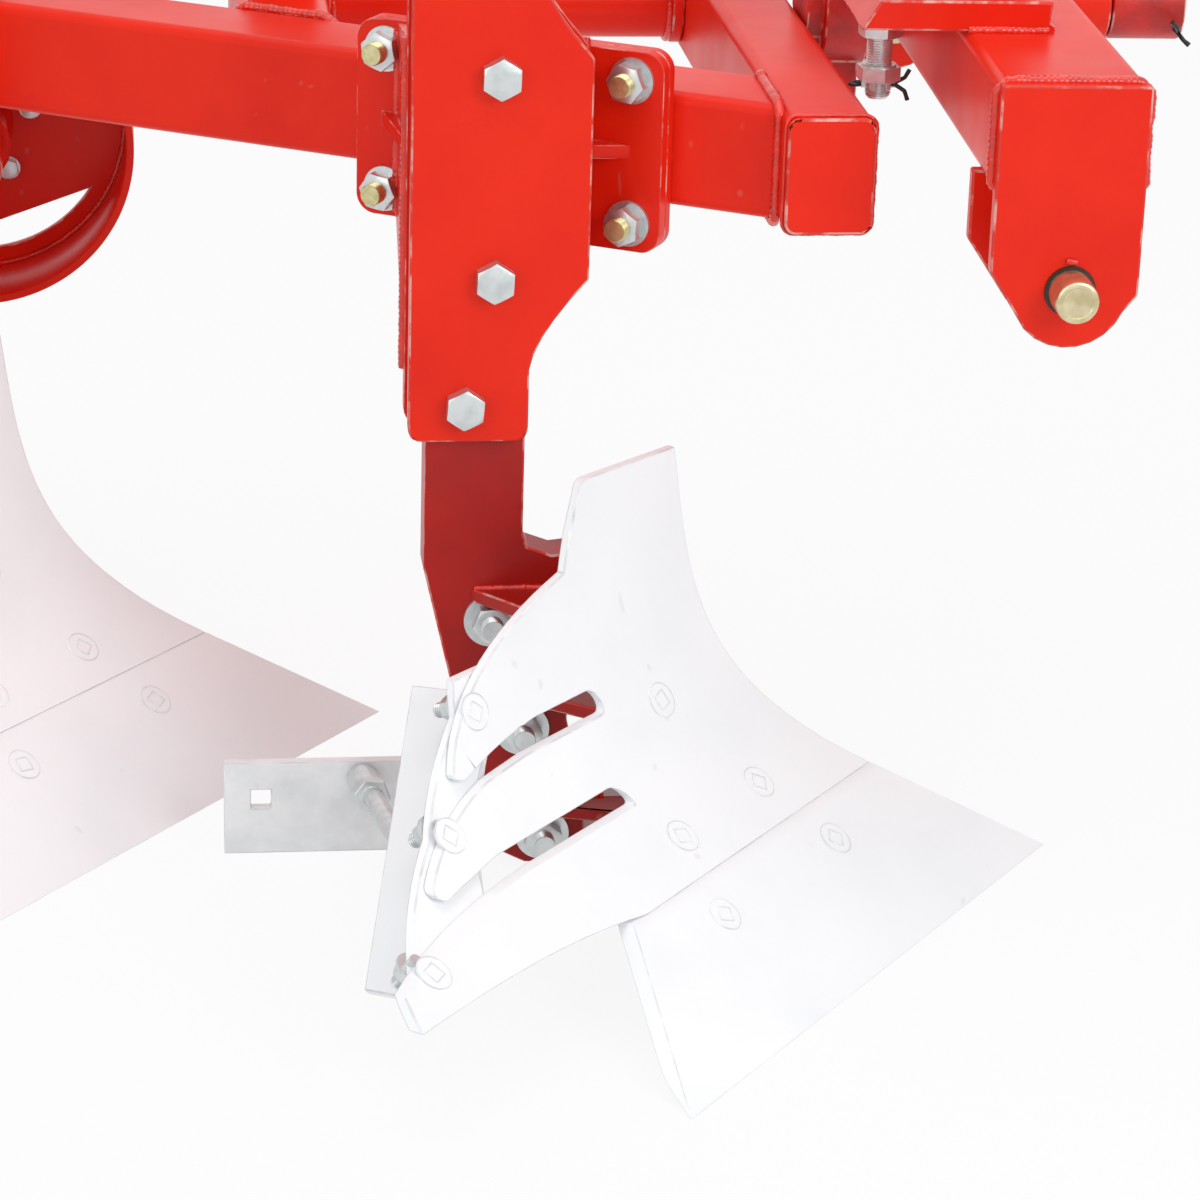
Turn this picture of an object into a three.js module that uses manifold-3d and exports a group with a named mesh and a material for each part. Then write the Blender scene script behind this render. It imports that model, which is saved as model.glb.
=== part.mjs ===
// Three-furrow mounted moldboard plough, right-hand, standing parked on its bodies and its stand.
// Millimetres. +X is the direction of travel, +Y the land side (left), +Z up.
import * as THREE from "three";
import * as BufferGeometryUtils from "three/addons/utils/BufferGeometryUtils.js";
import Module from "manifold-3d";

const wasm = await Module();
wasm.setup();

// ---------------------------------------------------------------- driving dimensions
const seam = 0.3; // gap left between pieces that are welded or bolted together
const skew = THREE.MathUtils.degToRad(30.2); // beam against the line of travel
const bodyCount = 3;
const bodySpacing = 680; // along the beam

const beamSide = 100;
const tubeRadius = 10;
const beamUnderside = 597; // clearance under the beam
const beamStandoff = 148; // beam's right face from the first cheek plate, across the travel
const beamFrontX = 225; // rear face of the front cross tube
const beamTail = 130; // beam behind the last clamp

const frontTubeWidth = 75;
const frontTubeRightY = -24;
const frameLeftY = 700;
const rearTubeFrontX = -135;
const rearTubeWidth = 85;
const longTubeRadius = 35;
const longTubeY = 640;

const plateThick = 12;
const cheekThick = 14;
const legThick = 40;
const cheekRearX = -88;
const cheekFrontX = 64;
const cheekWaistX = 15;
const cheekHalfHeight = 239;
const cheekShoulder = 95;
const cheekWaist = 175;
const flangeLength = 290;
const flangeHeight = 175;
const flangeCentre = -18; // from the station's origin back along the beam
const mountThick = 12; // plate welded to the beam, which the flange is bolted to
const boltSpanAlong = 232;
const boltSpanUp = 125;
const boltRadius = 10;
const cheekBoltRadius = 12;

const legRearX = -72;
const legFrontX = 14;
const legTop = 790;
const legTaperTop = 286;
const frogFrontX = 57;
const frogWingTop = 300;

const shinY = 22.8; // landside edge of the share and moldboard
const shareTipX = 495;
const jointX = 335; // top front corner of the share
const jointZ = 91;
const moldboardTop = 394;
const moldboardTopX = 146;
const shareAngle = THREE.MathUtils.degToRad(51.5); // horizontal lines of the share, to the travel
const topAngle = THREE.MathUtils.degToRad(42.6); // the same at the moldboard's top
const moldboardThick = 8;
const shareThick = 10;
const shareTopLength = 410;
const shareEdgeLength = 620;
const slotOneLow = 203;
const slotOneHigh = 224;
const slotTwoLow = 140;
const slotTwoHigh = 157;

const landsideHeight = 88;
const landsideThick = 12;
const landsideRearX = -245;
const landsideFrontX = 270;
const tieTop = [247, 268]; // along the level line and up, where the tie's wing starts
const tieFoot = [521, 112];
const tieAngle = THREE.MathUtils.degToRad(47);
const tieSink = 3; // the wing's root goes this far into the strip
const tieReachTop = 100;
const tieReachFoot = 125;
const tieBolts = [[324, 248], [439, 180], [594, 122]];
const tieLap = 17; // strip behind each bolt
const stayRadius = 9;
const couplingRadius = 14;
const couplingLength = 58;
const stayX = -122;
const stayZ = 72;
const stayHold = [180, 90]; // along and across the tie's wing

const headSwing = THREE.MathUtils.degToRad(2); // the headstock is set this far round
const headCentreY = 382;
const headTubeRearX = 93; // from the frame's front face
const headTubeWidth = 124;
const headTubeHeight = 92;
const headTubeTop = 757;
const headHalfWidth = 531; // centre line to the outside of an end plate
const endPlateThick = 14;
const clevisGap = 70;
const lowerPinRadius = 18.3; // lower hitch pin
const lowerPinZ = 586;
const lowerPinProud = 35;
const housingRadius = 38;
const housingProud = 69; // in front of the cross tube
const shaftRadius = 28;
const shaftBossRadius = 45;
const shaftCollarRadius = 63;
const shaftCapLength = 68;
const topPinRadius = 15.9; // top link pin
const topPinRise = 620; // above the lower pins
const mastPlateThick = 14;
const topLinkGap = 60;

const wheelRadius = 161;
const wheelWidth = 140;
const wheelX = -476;
const wheelNearY = 702;
const wheelZ = 480;
const webInset = 114; // from the near edge of the rim
const webThick = 10;
const rimThick = 8;
const axleRadius = 20;
const axleClearance = 0.6;
const postSide = 50;
const sleeveWall = 9;
const slideClearance = 0.8;

const standX = 27;
const standSide = 44;
const standFootRadius = 34;
const standFootThick = 8;

// ---------------------------------------------------------------- worked out from them
const beamTop = beamUnderside + beamSide;
const beamCentreZ = beamUnderside + beamSide / 2;
const legY = cheekThick + seam;
const flangeBack = mountThick + seam; // from the beam's face to the flange's back
const farCheekY = legY + legThick + seam;
const beamForward = new THREE.Vector2(Math.cos(skew), -Math.sin(skew));
const frontFaceX = beamFrontX + frontTubeWidth;

// ---------------------------------------------------------------- materials
const paint = new THREE.MeshStandardMaterial({ color: 0xe6352b, roughness: 0.35, metalness: 0.1 });
const bodySteel = new THREE.MeshStandardMaterial({ color: 0xf2f4f5, roughness: 0.4, metalness: 0.15 });
const zinc = new THREE.MeshStandardMaterial({ color: 0xc4c8c4, roughness: 0.3, metalness: 0.9 });

// ---------------------------------------------------------------- solids
function toSolid(geometry) {
  const bare = geometry.index ? geometry.toNonIndexed() : geometry.clone();
  bare.deleteAttribute("normal");
  bare.deleteAttribute("uv");
  const merged = BufferGeometryUtils.mergeVertices(bare, 1e-4);
  const vertProperties = new Float32Array(merged.attributes.position.array);
  const triVerts = new Uint32Array(merged.index.array);
  return new wasm.Manifold(new wasm.Mesh({ numProp: 3, vertProperties, triVerts }));
}

function toGeometry(solid) {
  const mesh = solid.getMesh();
  const geometry = new THREE.BufferGeometry();
  geometry.setAttribute("position", new THREE.BufferAttribute(Float32Array.from(mesh.vertProperties), 3));
  geometry.setIndex(new THREE.BufferAttribute(Uint32Array.from(mesh.triVerts), 1));
  const flat = geometry.toNonIndexed();
  flat.computeVertexNormals();
  return flat;
}

function join(...geometries) {
  return toGeometry(geometries.map(toSolid).reduce((sum, next) => sum.add(next)));
}

function cut(geometry, ...tools) {
  return toGeometry(tools.map(toSolid).reduce((rest, tool) => rest.subtract(tool), toSolid(geometry)));
}

function piece(name, geometry, material) {
  const mesh = new THREE.Mesh(geometry, material);
  mesh.name = name;
  return mesh;
}

// ---------------------------------------------------------------- plain shapes
function roundedRectangle(width, height, radius) {
  const shape = new THREE.Shape();
  const x = width / 2;
  const y = height / 2;
  shape.moveTo(-x + radius, -y);
  shape.lineTo(x - radius, -y);
  shape.absarc(x - radius, -y + radius, radius, -Math.PI / 2, 0, false);
  shape.lineTo(x, y - radius);
  shape.absarc(x - radius, y - radius, radius, 0, Math.PI / 2, false);
  shape.lineTo(-x + radius, y);
  shape.absarc(-x + radius, y - radius, radius, Math.PI / 2, Math.PI, false);
  shape.lineTo(-x, -y + radius);
  shape.absarc(-x + radius, -y + radius, radius, Math.PI, Math.PI * 1.5, false);
  return shape;
}

function polygon(points) {
  return new THREE.Shape(points.map(([x, y]) => new THREE.Vector2(x, y)));
}

function extrude(shape, depth, curveSegments = 4) {
  return new THREE.ExtrudeGeometry(shape, { depth, bevelEnabled: false, curveSegments });
}

// A plate drawn in X and Z, from y0 to y1.
function uprightPlate(shape, y0, y1, curveSegments = 4) {
  return extrude(shape, y1 - y0, curveSegments).rotateX(Math.PI / 2).translate(0, y1, 0);
}

// A bar whose section is drawn in Y and Z, from x0 to x1.
function barAlongX(shape, x0, x1) {
  return extrude(shape, x1 - x0).rotateX(Math.PI / 2).rotateZ(Math.PI / 2).translate(x0, 0, 0);
}

// A bar whose section is drawn in X and Z, from y0 to y1.
function barAlongY(shape, y0, y1) {
  return uprightPlate(shape, y0, y1);
}

function box(x0, x1, y0, y1, z0, z1) {
  return new THREE.BoxGeometry(x1 - x0, y1 - y0, z1 - z0).translate((x0 + x1) / 2, (y0 + y1) / 2, (z0 + z1) / 2);
}

function rodAlongY(radius, x, z, y0, y1, sides = 24) {
  return new THREE.CylinderGeometry(radius, radius, y1 - y0, sides).translate(x, (y0 + y1) / 2, z);
}

function rodAlongX(radius, y, z, x0, x1, sides = 32) {
  return new THREE.CylinderGeometry(radius, radius, x1 - x0, sides)
    .rotateZ(Math.PI / 2)
    .translate((x0 + x1) / 2, y, z);
}

function rodBetween(radius, from, to, sides = 20) {
  const way = new THREE.Vector3().subVectors(to, from);
  const turn = new THREE.Quaternion().setFromUnitVectors(new THREE.Vector3(0, 1, 0), way.clone().normalize());
  return new THREE.CylinderGeometry(radius, radius, way.length(), sides)
    .applyQuaternion(turn)
    .translate((from.x + to.x) / 2, (from.y + to.y) / 2, (from.z + to.z) / 2);
}

// ---------------------------------------------------------------- the body's working surface
// Level lines run back and outwards from the shin. u is the distance along a line, z its height.
function shinX(z) {
  if (z <= jointZ) {
    return THREE.MathUtils.lerp(shareTipX, jointX, z / jointZ);
  }
  const w = Math.max(0, (moldboardTop - z) / (moldboardTop - jointZ));
  return moldboardTopX + 40 * w + (jointX - moldboardTopX - 40) * w ** 3.7;
}

function lineAngle(z) {
  return THREE.MathUtils.lerp(shareAngle, topAngle, THREE.MathUtils.clamp((z - jointZ) / (moldboardTop - jointZ), 0, 1));
}

// behind is measured level, square to the line, away from the soil.
function onSurface(u, z, behind) {
  const angle = lineAngle(z);
  const x = shinX(z) - u * Math.cos(angle) - behind * Math.sin(angle);
  const y = shinY - u * Math.sin(angle) + behind * Math.cos(angle);
  return new THREE.Vector3(x, y, z);
}

// How much further a sheet reaches, measured level, where the surface leans back.
function leanFactor(z) {
  const step = 2;
  const run = (shinX(z - step) - shinX(z + step)) * Math.sin(lineAngle(z));
  return Math.hypot(run, 2 * step) / (2 * step);
}

// A sheet that follows the surface: an outline in u and z, from one depth behind it to another.
function sheet(outline, u0, u1, z0, z1, depth0, depth1, holes = []) {
  const columns = Math.ceil((u1 - u0) / 48);
  const rows = Math.ceil((z1 - z0) / 24);
  const slab = new THREE.BoxGeometry(u1 - u0, z1 - z0, 1, columns, rows, 1)
    .translate((u0 + u1) / 2, (z0 + z1) / 2, 0.5);
  const crown = (u, z) => 4e-4 * (u - u0) ** 2 + 1e-3 * (z - z0) ** 2; // keeps the grid through the cut
  const position = slab.attributes.position;
  for (let i = 0; i < position.count; i += 1) {
    position.setZ(i, position.getZ(i) + crown(position.getX(i), position.getY(i)));
  }
  outline.holes.push(...holes);
  const reach = crown(u1, z1) + 10;
  const cutter = extrude(outline, reach + 10, 5).translate(0, 0, -10);
  const trimmed = toGeometry(toSolid(slab).intersect(toSolid(cutter)));
  const points = trimmed.attributes.position;
  for (let i = 0; i < points.count; i += 1) {
    const u = points.getX(i);
    const z = points.getY(i);
    const share = THREE.MathUtils.clamp(points.getZ(i) - crown(u, z), 0, 1);
    const behind = THREE.MathUtils.lerp(depth0(z), depth1(z), share);
    const place = onSurface(u, z, behind);
    points.setXYZ(i, place.x, place.y, place.z);
  }
  trimmed.computeVertexNormals();
  return trimmed;
}

function moldboard() {
  const edge = new THREE.Shape();
  edge.moveTo(0, jointZ + 0.4);
  edge.lineTo(shareTopLength - 23, jointZ + 0.4);
  edge.quadraticCurveTo(480, jointZ + 13, 674, jointZ + 11);
  edge.lineTo(640, 119);
  edge.quadraticCurveTo(520, slotTwoLow - 2, 400, slotTwoLow);
  edge.lineTo(262, slotTwoLow);
  edge.absarc(254, (slotTwoLow + slotTwoHigh) / 2, (slotTwoHigh - slotTwoLow) / 2, -Math.PI / 2, Math.PI / 2, true);
  edge.lineTo(420, slotTwoHigh - 1);
  edge.lineTo(505, 148);
  edge.quadraticCurveTo(516, 152, 503, 158);
  edge.quadraticCurveTo(420, 190, 360, slotOneLow - 4);
  edge.lineTo(300, slotOneLow);
  edge.lineTo(200, slotOneLow);
  edge.absarc(192, (slotOneLow + slotOneHigh) / 2, (slotOneHigh - slotOneLow) / 2, -Math.PI / 2, Math.PI / 2, true);
  edge.lineTo(262, slotOneHigh);
  edge.quadraticCurveTo(320, slotOneHigh - 4, 378, slotOneLow + 3);
  edge.quadraticCurveTo(395, slotOneLow + 6, 384, slotOneLow + 12);
  edge.quadraticCurveTo(300, 290, 166, 322);
  edge.lineTo(150, 352);
  edge.lineTo(130, moldboardTop - 10);
  edge.quadraticCurveTo(126, moldboardTop, 116, moldboardTop);
  edge.lineTo(0, moldboardTop);
  const lean = (z) => moldboardThick * leanFactor(Math.max(z, jointZ + 4));
  return sheet(edge, 0, 690, jointZ, moldboardTop + 1, () => 0, lean);
}

function share() {
  const edge = polygon([
    [-14, 0.4],
    [shareEdgeLength, 0.4],
    [shareTopLength, jointZ],
    [0, jointZ],
  ]);
  const full = shareThick * leanFactor(jointZ / 2);
  const bevel = (z) => Math.min(full, 1.5 + z * 0.9);
  return sheet(edge, -16, shareEdgeLength + 2, 0.4, jointZ + 1, () => 0, bevel);
}

// The frog: seats behind the share and the moldboard, and two level webs back to the leg.
function frog() {
  const clear = (z) => moldboardThick * leanFactor(Math.max(z, jointZ + 4)) + seam * 2;
  const shareClear = (z) => shareThick * leanFactor(Math.min(z, jointZ / 2)) + seam * 2;
  const behindBoth = (z) => Math.max(clear(z), shareClear(z));
  const backed = (z) => behindBoth(z) + plateThick;
  const shareSeat = sheet(polygon([[8, 32], [340, 32], [368, 128], [8, 128]]), 6, 372, 30, 130, behindBoth, backed);
  const shinSeat = sheet(polygon([[8, 120], [170, 120], [108, 300], [8, 300]]), 6, 176, 118, 302, behindBoth, backed);
  const webs = [62, 176, 262].map((z) => levelWeb(z));
  return join(shareSeat, shinSeat, ...webs);
}

function levelWeb(z) {
  const depth = moldboardThick * leanFactor(z) + plateThick * 0.6;
  const near = onSurface(14, z, depth + 4);
  const far = onSurface(Math.min(150, 330 - z * 0.7), z, depth + 4);
  const legFace = legY - seam;
  const front = Math.min(near.x, frogFrontX + 90);
  const shape = polygon([
    [front, legFace],
    [far.x, far.y],
    [far.x - 30, far.y + 20],
    [-30, legFace],
  ]);
  return extrude(shape, plateThick).translate(0, 0, z - plateThick / 2);
}

// ---------------------------------------------------------------- leg and what hangs on it
function leg() {
  const shape = polygon([
    [legRearX, legTop],
    [legRearX, legTaperTop],
    [-45, 172],
    [-22, 62],
    [2, 14],
    [22, 4],
    [76, 4],
    [74, 64],
    [frogFrontX, 142],
    [frogFrontX, frogWingTop],
    [40, frogWingTop - 2],
    [legFrontX + 4, frogWingTop + 6],
    [legFrontX, frogWingTop + 20],
    [legFrontX, legTop],
  ]);
  return uprightPlate(shape, legY, legY + legThick);
}

function cheek(y0) {
  const top = beamCentreZ + cheekHalfHeight;
  const bottom = beamCentreZ - cheekHalfHeight;
  const r = 13;
  const shape = new THREE.Shape();
  shape.moveTo(cheekRearX + r, bottom);
  shape.lineTo(cheekWaistX - r, bottom);
  shape.quadraticCurveTo(cheekWaistX, bottom, cheekWaistX, bottom + r);
  shape.lineTo(cheekWaistX, beamCentreZ - cheekWaist);
  shape.quadraticCurveTo(cheekWaistX + 4, beamCentreZ - 145, cheekFrontX, beamCentreZ - cheekShoulder);
  shape.lineTo(cheekFrontX, beamCentreZ + cheekShoulder);
  shape.quadraticCurveTo(cheekWaistX + 4, beamCentreZ + 145, cheekWaistX, beamCentreZ + cheekWaist);
  shape.lineTo(cheekWaistX, top - r);
  shape.quadraticCurveTo(cheekWaistX, top, cheekWaistX - r, top);
  shape.lineTo(cheekRearX + r, top);
  shape.quadraticCurveTo(cheekRearX, top, cheekRearX, top - r);
  shape.lineTo(cheekRearX, bottom + r);
  shape.quadraticCurveTo(cheekRearX, bottom, cheekRearX + r, bottom);
  return uprightPlate(shape, y0, y0 + cheekThick, 5);
}

// Moves a shape drawn in the beam's own frame (x forward along it, y from its right face) to the station.
function besideBeam(geometry) {
  return geometry.rotateZ(-skew).translate(0, beamStandoff, 0);
}

function boltedPlate(thick) {
  const shape = roundedRectangle(flangeLength, flangeHeight, 18);
  const holes = [-1, 1].flatMap((i) => [-1, 1].map((j) => {
    const hole = new THREE.Path();
    hole.absarc((i * boltSpanAlong) / 2, (j * boltSpanUp) / 2, boltRadius + 0.5, 0, Math.PI * 2, true);
    return hole;
  }));
  shape.holes.push(...holes);
  return uprightPlate(shape, 0, thick, 6).translate(-flangeCentre, 0, beamCentreZ);
}

function legBracket() {
  const flange = besideBeam(boltedPlate(plateThick).translate(0, -plateThick - seam - flangeBack, 0));
  const ribHeight = 200;
  const ribs = [cheekRearX, cheekFrontX - plateThick].map((x) => {
    const face = beamStandoff - (x + plateThick) * Math.tan(skew) - 3 - flangeBack / Math.cos(skew);
    const shape = polygon([
      [farCheekY + 4, beamCentreZ + ribHeight * 0.5],
      [farCheekY + 4, beamCentreZ - (x < 0 ? ribHeight : 90)],
      [face, beamCentreZ - 85],
      [face, beamCentreZ + 85],
    ]);
    return extrude(shape, plateThick).rotateX(Math.PI / 2).rotateZ(Math.PI / 2).translate(x, 0, 0);
  });
  const gusset = besideBeamGusset();
  return join(cheek(farCheekY), flange, ...ribs, gusset);
}

// A level gusset at half height, from the cheek to both ends of the flange.
function besideBeamGusset() {
  const along = (s) => new THREE.Vector2(0, beamStandoff).addScaledVector(beamForward, -s);
  const out = new THREE.Vector2(Math.sin(skew), Math.cos(skew));
  const rear = along(flangeCentre + flangeLength / 2 - 22).addScaledVector(out, -8 - flangeBack);
  const front = along(flangeCentre - flangeLength / 2 + 22).addScaledVector(out, -8 - flangeBack);
  const shape = polygon([
    [cheekRearX + 2, farCheekY + 6],
    [cheekFrontX - 2, farCheekY + 6],
    [front.x, front.y],
    [rear.x, rear.y],
  ]);
  return extrude(shape, plateThick).translate(0, 0, beamCentreZ - plateThick / 2);
}

function mountPlate() {
  return besideBeam(boltedPlate(mountThick).translate(0, -mountThick - seam, 0));
}

function landside() {
  const shape = polygon([
    [landsideRearX, 0],
    [landsideFrontX, 0],
    [landsideFrontX - 70, landsideHeight],
    [landsideRearX, landsideHeight],
  ]);
  const hole = new THREE.Path();
  const x = -212;
  const z = 53;
  hole.setFromPoints([[x - 9, z - 9], [x - 9, z + 9], [x + 9, z + 9], [x + 9, z - 9]].map(([a, b]) => new THREE.Vector2(a, b)));
  shape.holes.push(hole);
  const y0 = legY + legThick + seam;
  return uprightPlate(shape, y0, y0 + landsideThick);
}

// The tie: a strip behind the moldboard's fingers, and a flat wing that stands back from it.
function tieDepth(z) {
  return moldboardThick * leanFactor(z) + seam * 3;
}

function tieBar(grown = 0) {
  const back = (z) => tieDepth(z) + moldboardThick + grown;
  const [high, middle, low] = tieBolts;
  const shape = polygon([
    [tieTop[0] - 16, tieTop[1] + 4],
    [tieFoot[0] - 16, tieFoot[1] + 2],
    [low[0] + tieLap + 5, low[1] - 5],
    [middle[0] + tieLap, middle[1] - 2],
    [high[0] + tieLap, high[1] - 4],
    [high[0], tieTop[1] + 4],
  ]);
  return join(sheet(shape, 222, 640, 104, 290, (z) => tieDepth(z) - grown, back), tieWing(grown));
}

// How far a point lies behind the working surface, measured level.
function distanceBehind(point) {
  const angle = lineAngle(point.z);
  return (shinX(point.z) - point.x) * Math.sin(angle) - (shinY - point.y) * Math.cos(angle);
}

// The wing's root: how far out, at a place along it, both its faces are inside the strip.
function rootReach(place, at) {
  const inside = (out) => [0, moldboardThick].every((t) => {
    const point = new THREE.Vector3(at, out, t).applyMatrix4(place);
    return distanceBehind(point) > tieDepth(point.z) + tieSink;
  });
  let out = -20;
  while (!inside(out) && out < tieReachTop) {
    out += 0.5;
  }
  return out;
}

function tiePlace() {
  const top = onSurface(tieTop[0], tieTop[1], 0);
  const along = new THREE.Vector3().subVectors(onSurface(tieFoot[0], tieFoot[1], 0), top).normalize();
  const across = new THREE.Vector3(-Math.sin(tieAngle), Math.cos(tieAngle), 0);
  across.addScaledVector(along, -across.dot(along)).normalize();
  const through = new THREE.Vector3().crossVectors(along, across);
  return new THREE.Matrix4().makeBasis(along, across, through).setPosition(top);
}

// A flat wing that stands back from the strip, in front of the nuts.
function tieWing(grown) {
  const place = tiePlace();
  const length = onSurface(tieTop[0], tieTop[1], 0).distanceTo(onSurface(tieFoot[0], tieFoot[1], 0));
  const steps = 14;
  const root = Array.from({ length: steps + 1 }, (_, i) => THREE.MathUtils.lerp(18, length + 2, i / steps));
  const shape = polygon([
    ...root.map((at) => [at, rootReach(place, at)]),
    [length + 31, 75],
    [length + 13, tieReachFoot],
    [2, tieReachTop],
    [22, 40],
  ]);
  return extrude(shape, moldboardThick + 2 * grown, 8)
    .translate(0, 0, -grown)
    .applyMatrix4(place);
}

// The stay runs from the landside to the wing, with a spacer and a nut at the landside.
function stayRod() {
  const start = new THREE.Vector3(stayX, legY + legThick + seam, stayZ);
  const hold = new THREE.Vector3(stayHold[0], stayHold[1], moldboardThick / 2).applyMatrix4(tiePlace());
  const way = new THREE.Vector3().subVectors(hold, start).normalize();
  const along = (t) => start.clone().addScaledVector(way, t);
  const rod = rodBetween(stayRadius, start, hold);
  const spacer = rodBetween(couplingRadius, along(couplingRadius * 0.4), along(couplingLength), 28);
  const nut = rodBetween(couplingRadius * 1.18, along(couplingLength), along(couplingLength + 18), 6);
  const stay = cut(join(rod, spacer, nut), box(-900, 900, start.y - seam, start.y + 300, -100, 400));
  return keepLargest(cut(stay, tieBar(seam * 2)));
}

function station(index) {
  const group = new THREE.Group();
  const step = index * bodySpacing;
  group.position.set(-step * beamForward.x, -step * beamForward.y, 0);
  const n = index + 1;
  group.add(piece(`leg_bracket_${n}`, legBracket(), paint));
  group.add(piece(`cheek_plate_${n}`, cheek(0), paint));
  group.add(piece(`mount_plate_${n}`, mountPlate(), paint));
  group.add(piece(`leg_${n}`, leg(), paint));
  group.add(piece(`frog_${n}`, frog(), paint));
  group.add(piece(`moldboard_${n}`, moldboard(), bodySteel));
  group.add(piece(`share_${n}`, share(), bodySteel));
  group.add(piece(`landside_${n}`, landside(), bodySteel));
  group.add(piece(`tie_bar_${n}`, tieBar(), bodySteel));
  group.add(piece(`stay_rod_${n}`, stayRod(), zinc));
  return group;
}

// ---------------------------------------------------------------- frame
function mainBeam() {
  const length = (bodyCount - 1) * bodySpacing + flangeCentre + flangeLength / 2 + beamTail;
  const bar = barAlongX(roundedRectangle(beamSide, beamSide, tubeRadius), -length, 420)
    .translate(0, beamSide / 2, beamCentreZ);
  const placed = besideBeam(bar);
  return cut(placed, box(beamFrontX - seam, beamFrontX + 600, -900, 600, 500, 800));
}

function crossTube(x0, x1, y0, y1) {
  const shape = roundedRectangle(x1 - x0, beamSide, tubeRadius);
  return barAlongY(shape, y0, y1).translate((x0 + x1) / 2, 0, beamCentreZ);
}

function rearCrossTube() {
  const tube = crossTube(rearTubeFrontX - rearTubeWidth, rearTubeFrontX, 200, frameLeftY);
  const beam = barAlongX(roundedRectangle(beamSide + 2 * seam, beamSide + 2, tubeRadius), -1600, 420)
    .translate(0, beamSide / 2, beamCentreZ);
  const near = box(-900, 400, -400, 250, 500, 800);
  return keepLargest(cut(tube, besideBeam(beam), near));
}

function keepLargest(geometry) {
  const parts = toSolid(geometry).decompose();
  return toGeometry(parts.reduce((best, next) => (next.volume() > best.volume() ? next : best)));
}

function longitudinalTube() {
  const from = rearTubeFrontX + seam;
  const to = beamFrontX - seam;
  return join(
    rodAlongX(longTubeRadius, longTubeY, beamCentreZ, from, to),
    rodAlongX(longTubeRadius + 5, longTubeY, beamCentreZ, to - 12, to),
    rodAlongX(longTubeRadius + 5, longTubeY, beamCentreZ, from, from + 12),
  );
}

function frame() {
  const group = new THREE.Group();
  group.add(piece("main_beam", mainBeam(), paint));
  group.add(piece("front_cross_tube", crossTube(beamFrontX, frontFaceX, frontTubeRightY, frameLeftY), paint));
  group.add(piece("rear_cross_tube", rearCrossTube(), paint));
  group.add(piece("longitudinal_tube", longitudinalTube(), paint));
  return group;
}

// ---------------------------------------------------------------- headstock, x from the frame's front face
const shaftZ = headTubeTop - headTubeHeight / 2;
const collarRear = 17;
const collarFront = 58;
const housingRear = collarFront + 1;
const housingFront = headTubeRearX + headTubeWidth + housingProud;

function headCrossTube() {
  const inner = headHalfWidth - endPlateThick - seam;
  const tube = barAlongY(roundedRectangle(headTubeWidth, headTubeHeight, tubeRadius), -inner, inner)
    .translate(headTubeRearX + headTubeWidth / 2, 0, shaftZ);
  const housing = rodAlongX(housingRadius, 0, shaftZ, housingRear, housingFront, 36);
  const bore = rodAlongX(shaftRadius + seam, 0, shaftZ, -50, housingFront + 50, 36);
  return cut(join(tube, housing), bore);
}

function pivotShaft() {
  const shaft = rodAlongX(shaftRadius, 0, shaftZ, -20, housingFront + 10, 36);
  const boss = rodAlongX(shaftBossRadius, 0, shaftZ, -20, collarRear + 2, 36);
  const collar = rodAlongX(shaftCollarRadius, 0, shaftZ, collarRear, collarFront, 36);
  const cap = rodAlongX(housingRadius - 1, 0, shaftZ, housingFront + 2, housingFront + 2 + shaftCapLength, 36);
  const ribs = [-32, 20].map((y) => box(-20, collarFront - 6, y, y + plateThick, beamUnderside + 20, shaftZ));
  const face = box(-200, seam, -300, 300, 400, 900).rotateZ(headSwing);
  return cut(join(shaft, boss, collar, cap, ...ribs), face);
}

function endPlateOutline(x0, x1, top, low) {
  const shape = new THREE.Shape();
  const x = headTubeRearX + 67; // the pin's place along the plate
  shape.moveTo(x0, top);
  shape.lineTo(x0, low + 20);
  shape.lineTo(x - 36, lowerPinZ - 33);
  shape.absarc(x, lowerPinZ, 49, -Math.PI * 0.765, -Math.PI * 0.12, false);
  shape.lineTo(x1, low);
  shape.lineTo(x1, top);
  return shape;
}

function pinHole(y0, y1) {
  return rodAlongY(lowerPinRadius + seam, headTubeRearX + 67, lowerPinZ, y0, y1);
}

function endPlate() {
  const outline = endPlateOutline(headTubeRearX, headTubeRearX + headTubeWidth, headTubeTop, 582);
  const plate = uprightPlate(outline, -headHalfWidth, -headHalfWidth + endPlateThick);
  return cut(plate, pinHole(-headHalfWidth - 5, -headHalfWidth + endPlateThick + 5));
}

function innerLug() {
  const top = headTubeTop - headTubeHeight - seam;
  const y0 = -headHalfWidth + endPlateThick + clevisGap;
  const outline = endPlateOutline(headTubeRearX - 4, headTubeRearX + headTubeWidth - 8, top, 585);
  const plate = uprightPlate(outline, y0, y0 + endPlateThick);
  return cut(plate, pinHole(y0 - 5, y0 + endPlateThick + 5));
}

function lowerPin() {
  const x = headTubeRearX + 67;
  const outside = -headHalfWidth - lowerPinProud;
  const inside = -headHalfWidth + 2 * endPlateThick + clevisGap + 18;
  const chamfer = 2.5;
  const half = (inside - outside) / 2;
  const profile = [
    [0, -half],
    [lowerPinRadius - chamfer, -half],
    [lowerPinRadius, -half + chamfer],
    [lowerPinRadius, half - chamfer],
    [lowerPinRadius - chamfer, half],
    [0, half],
  ].map(([r, y]) => new THREE.Vector2(r, y));
  return new THREE.LatheGeometry(profile, 40).translate(x, (outside + inside) / 2, lowerPinZ);
}

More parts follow.
